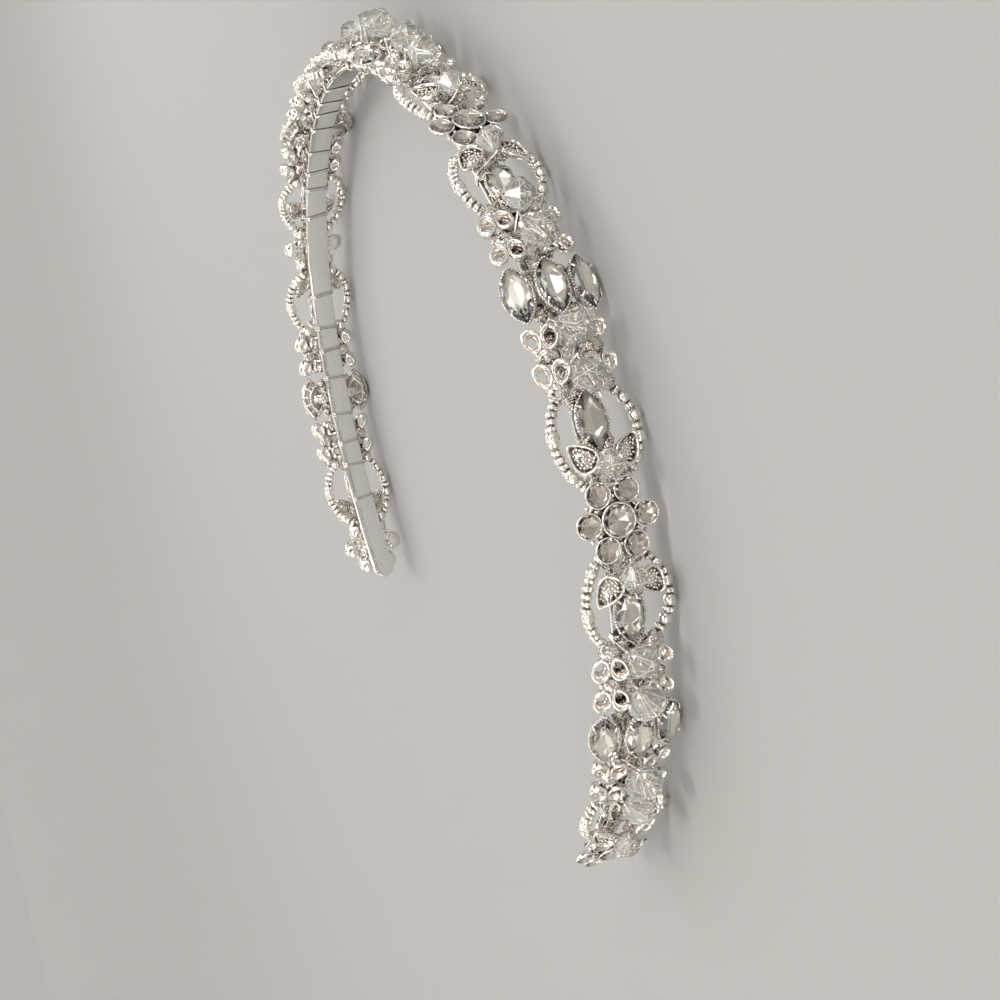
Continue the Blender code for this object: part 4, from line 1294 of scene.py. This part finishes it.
def flower_ways(middle):
    return [way for way in (1, -1) if abs(middle - way * GROUP_PITCH) < HALF_LENGTH]


def loop_marquise(middle, way):
    trio = middle - way * GROUP_PITCH
    return spot(trio + way * NAVETTE_PLACE * GROUP_PITCH, 0.0, LOOP_NAVETTE_HEIGHT)


def leaf_crystal(middle, way):
    return spot(middle - way * LEAF_CRYSTAL_FROM_FLOWER, 0.0, LEAF_CRYSTAL_HEIGHT)


print("leaves stand", in_mm([LEAF_FROM_FLOWER])[0], "mm from the flower")


# %% Flower castings, stones and leaves
def flower_casting(middle):
    ends = {1: middle + PETAL_RING, -1: middle - PETAL_RING}
    layers, laces = flower_cups(middle), []
    for way in flower_ways(middle):
        ends[-way] = middle - way * FLOWER_RAIL_END * GROUP_PITCH
        place = middle - way * LEAF_FROM_FLOWER
        leaves = [spot(place, side * LEAF_ACROSS, LEAF_HEIGHT, LEAF_LEAN,
                       side * LEAF_TURN if way > 0 else side * (math.pi - LEAF_TURN)) for side in BOTH]
        stems = [stem(place + way * LEAF_LENGTH / 4, LEAF_ACROSS - LEAF_STEM_INSET, LEAF_HEIGHT, side)
                 for side in BOTH]
        thread = threaded(leaf_crystal(middle, way), LEAF_CRYSTAL_LENGTH,
                          middle - way * LEAF_CRYSTAL_FROM_FLOWER, LEAF_WIRE_REACH)
        layers += seat_all(LOOP_CUP, [loop_marquise(middle, way)]) + seat_all(LEAF, leaves)
        layers += seat_all(LUMP, lump_spots(middle, -way, enumerate(FLOWER_LUMPS)))
        layers += [wire(stems, STEM_RADIUS, CAST_SILVER), wire([thread], WIRE_RADIUS, BRIGHT_SILVER)]
        laces += laced(middle - way * GROUP_PITCH, way, FLOWER_LACES)
    return layers + [rail(ends[-1], ends[1]), seat(LASHING, laces, BRIGHT_SILVER)]


def flower_glass(middle):
    layers = flower_stones(middle)
    for way in flower_ways(middle):
        layers += stones_at(MARQUISE, [loop_marquise(middle, way)], WHITE_FOIL)
        layers.append(seat(LEAFLET, [leaf_crystal(middle, way)], BEAD_GLASS, EDGE_HIGHLIGHT_GLASS))
    return layers


for number in NUMBERS:
    if number % 2:
        node, middle = f"flower_{side_name(number)}", number * GROUP_PITCH
        put_on(f"{node}_casting", flower_casting(middle), "silver_setting", node)
        put_on(f"{node}_stones", flower_glass(middle), "clear_crystal", node)
print("pieces so far", len(DONE))

# %% [markdown]
# ## Bead chains
# The chain on one side of each marquise takes turns of a smooth ball and a granulated ring, which
# is five little balls round the wire. The one on the other side is nearly all rings. Both follow
# an oval, with their ends tucked under the settings.

# %% Balls and granulated rings
BALL_RADIUS = 0.00230 / 2
RING_GRAINS, RING_SHARE = 5, 0.28    # little balls, and how far in they stand, in ring diameters
GRAIN_FIT = 0.96    # a ball's radius as a share of that
DENT_SCALE, DENT_DEPTH = 1500, 0.20


def granulated_ring(name, diameter):
    """Ring of little balls, pressed a little out of round."""
    shape, grain = bmesh.new(), diameter * RING_SHARE
    for x, y in circle(diameter / 2 - grain, RING_GRAINS):
        bmesh.ops.create_icosphere(shape, subdivisions=2, radius=grain * GRAIN_FIT,
                                   matrix=Matrix.Translation((x, y, 0)))
    for vertex in shape.verts:
        vertex.co *= 1 + DENT_DEPTH * noise.noise(vertex.co * DENT_SCALE)
    return as_pattern(name, finished(name, shape, smooth=True))


BALL = shot_pattern("ball", BALL_RADIUS, subdivisions=2)
WIDE_RING = granulated_ring("wide_ring", diameter=0.00205)
SPACER_RING = granulated_ring("spacer_ring", diameter=0.00210)
print("ring", len(WIDE_RING.data.polygons), "faces")

# %% Bead chains on their ovals
CHAIN_REACH, CHAIN_WIRE = 0.0072, 0.0003
CHAIN_END_HEIGHT, CHAIN_MID_HEIGHT = 0.0009, 0.0023
CHAIN_PLACE, CHAIN_SPAN = 0.638, 0.232
CHAIN_START, CHAIN_END, CHAIN_POINTS = math.radians(35), math.radians(150), 40
CHAINS = {-1: (WIDE_RING, 6, 0.00116), 1: (SPACER_RING, 2, 0.00162)}    # ring, a ball every, pitch
CHAIN_SEED = 20


def chain_route(trio, way, side):
    route = []
    for i in range(CHAIN_POINTS):
        angle = CHAIN_START + (CHAIN_END - CHAIN_START) * i / (CHAIN_POINTS - 1)
        along = trio + way * GROUP_PITCH * (CHAIN_PLACE - CHAIN_SPAN * math.cos(angle))
        rise = CHAIN_END_HEIGHT + (CHAIN_MID_HEIGHT - CHAIN_END_HEIGHT) * math.sin(angle) ** 2
        route.append(point(along, side * CHAIN_REACH * math.sin(angle), rise))
    return route


def bead_chain(trio, way, side, seed):
    route = chain_route(trio, way, side)
    ring, every, pitch = CHAINS[side]
    beads = run_tree(path_mesh([route]), BEADS_ON_PATH, round_bead=BALL, rough_bead=ring, pitch=pitch,
                     round_every=every, size_change=0.07, seed=seed, finish=BEAD_SILVER)
    return [beads, wire([route], CHAIN_WIRE, BEAD_SILVER)]


route = chain_route(0.0, 1, 1)
print("chain", round(sum((b - a).length for a, b in zip(route, route[1:])) * 1000), "mm long")

# %% Crystals on their wires, and all the chains
PAIR = ((LARGE, 0.222, LARGE_CRYSTAL_LENGTH, 0.0070), (SMALL, 0.418, SMALL_CRYSTAL_LENGTH, 0.0064))
PAIR_WIRE_REACH = 0.0015
CRYSTAL_TURNS = ((0, 1, 60, 40), (2, -1, 28, 75), (2, 1, 60, 15), (4, -1, 27, 50), (4, 1, 20, 50))


def crystal_turns(number, way):
    mirror = -1 if number < 0 or (number == 0 and way < 0) else 1
    for trio_number, direction, large, small in CRYSTAL_TURNS:
        if (trio_number, direction) == (number * mirror, way * mirror):
            return mirror * math.radians(large), mirror * math.radians(small)
    return 0.0, 0.0


def crystal_pair(number, way):
    """Two crystals beside a trio and the wires that hold them."""
    beads, threads = [], []
    for (pattern, share, length, height), turn in zip(PAIR, crystal_turns(number, way)):
        along = number * GROUP_PITCH + way * share * GROUP_PITCH
        here = spot(along, 0.0, height, turn=turn)
        beads.append(seat(pattern, [here], BEAD_GLASS, EDGE_HIGHLIGHT_GLASS))
        threads.append(threaded(here, length, along, PAIR_WIRE_REACH))
    return beads, [wire(threads, WIRE_RADIUS, BRIGHT_SILVER)]


for number in TRIO_NUMBERS:
    for way in BOTH:
        label = f"{side_name(number)}_{'a' if way < 0 else 'b'}"
        beads, wires = crystal_pair(number, way)
        put_on(f"crystal_pair_{label}", beads, "clear_crystal", f"crystals_{label}")
        put_on(f"crystal_wire_{label}", wires, "silver_setting", f"crystals_{label}")
        for name, side in (("upper", -1), ("lower", 1)):
            chain = bead_chain(number * GROUP_PITCH, way, side, CHAIN_SEED + number)
            put_on(f"bead_chain_{label}_{name}", chain, "silver_beads", f"chain_{label}_{name}")
print("pieces", len(DONE), "faces", sum(len(piece.data.polygons) for piece, _, _ in DONE))

# %% [markdown]
# ## Floor, and tying the pieces to the model
# The patterns have done their work and are removed. Each finished piece is tied to the model's one
# body, and the solids it stands for are hidden.

# %% Pale floor
FLOOR_REACH, FLOOR_ROUGH = 60.0, 0.85
FLOOR_TONE = (0.41, 0.41, 0.405, 1.0)
CORNERS = ((-1, -1), (1, -1), (1, 1), (-1, 1))

floor_mesh = bpy.data.meshes.new("floor")
floor_mesh.from_pydata([(x * FLOOR_REACH, y * FLOOR_REACH, 0) for x, y in CORNERS], [], [(0, 1, 2, 3)])
floor = new_object("floor", floor_mesh)
paper, tree, shader = new_finish("pale_paper")
feed(tree, shader, {"Base Color": FLOOR_TONE, "Roughness": FLOOR_ROUGH})
floor_mesh.materials.append(paper)
floor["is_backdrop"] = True
print("floor", in_mm([2 * FLOOR_REACH])[0], "mm wide")

# %% Tie the pieces on
for pattern in list(PATTERNS.objects):
    bpy.data.objects.remove(pattern)
bpy.data.collections.remove(PATTERNS)
for piece, slot, nodes in DONE:
    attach(piece, "root")
    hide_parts(*nodes)

low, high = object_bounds()
print("dressed model", in_mm(high - low), "mm")
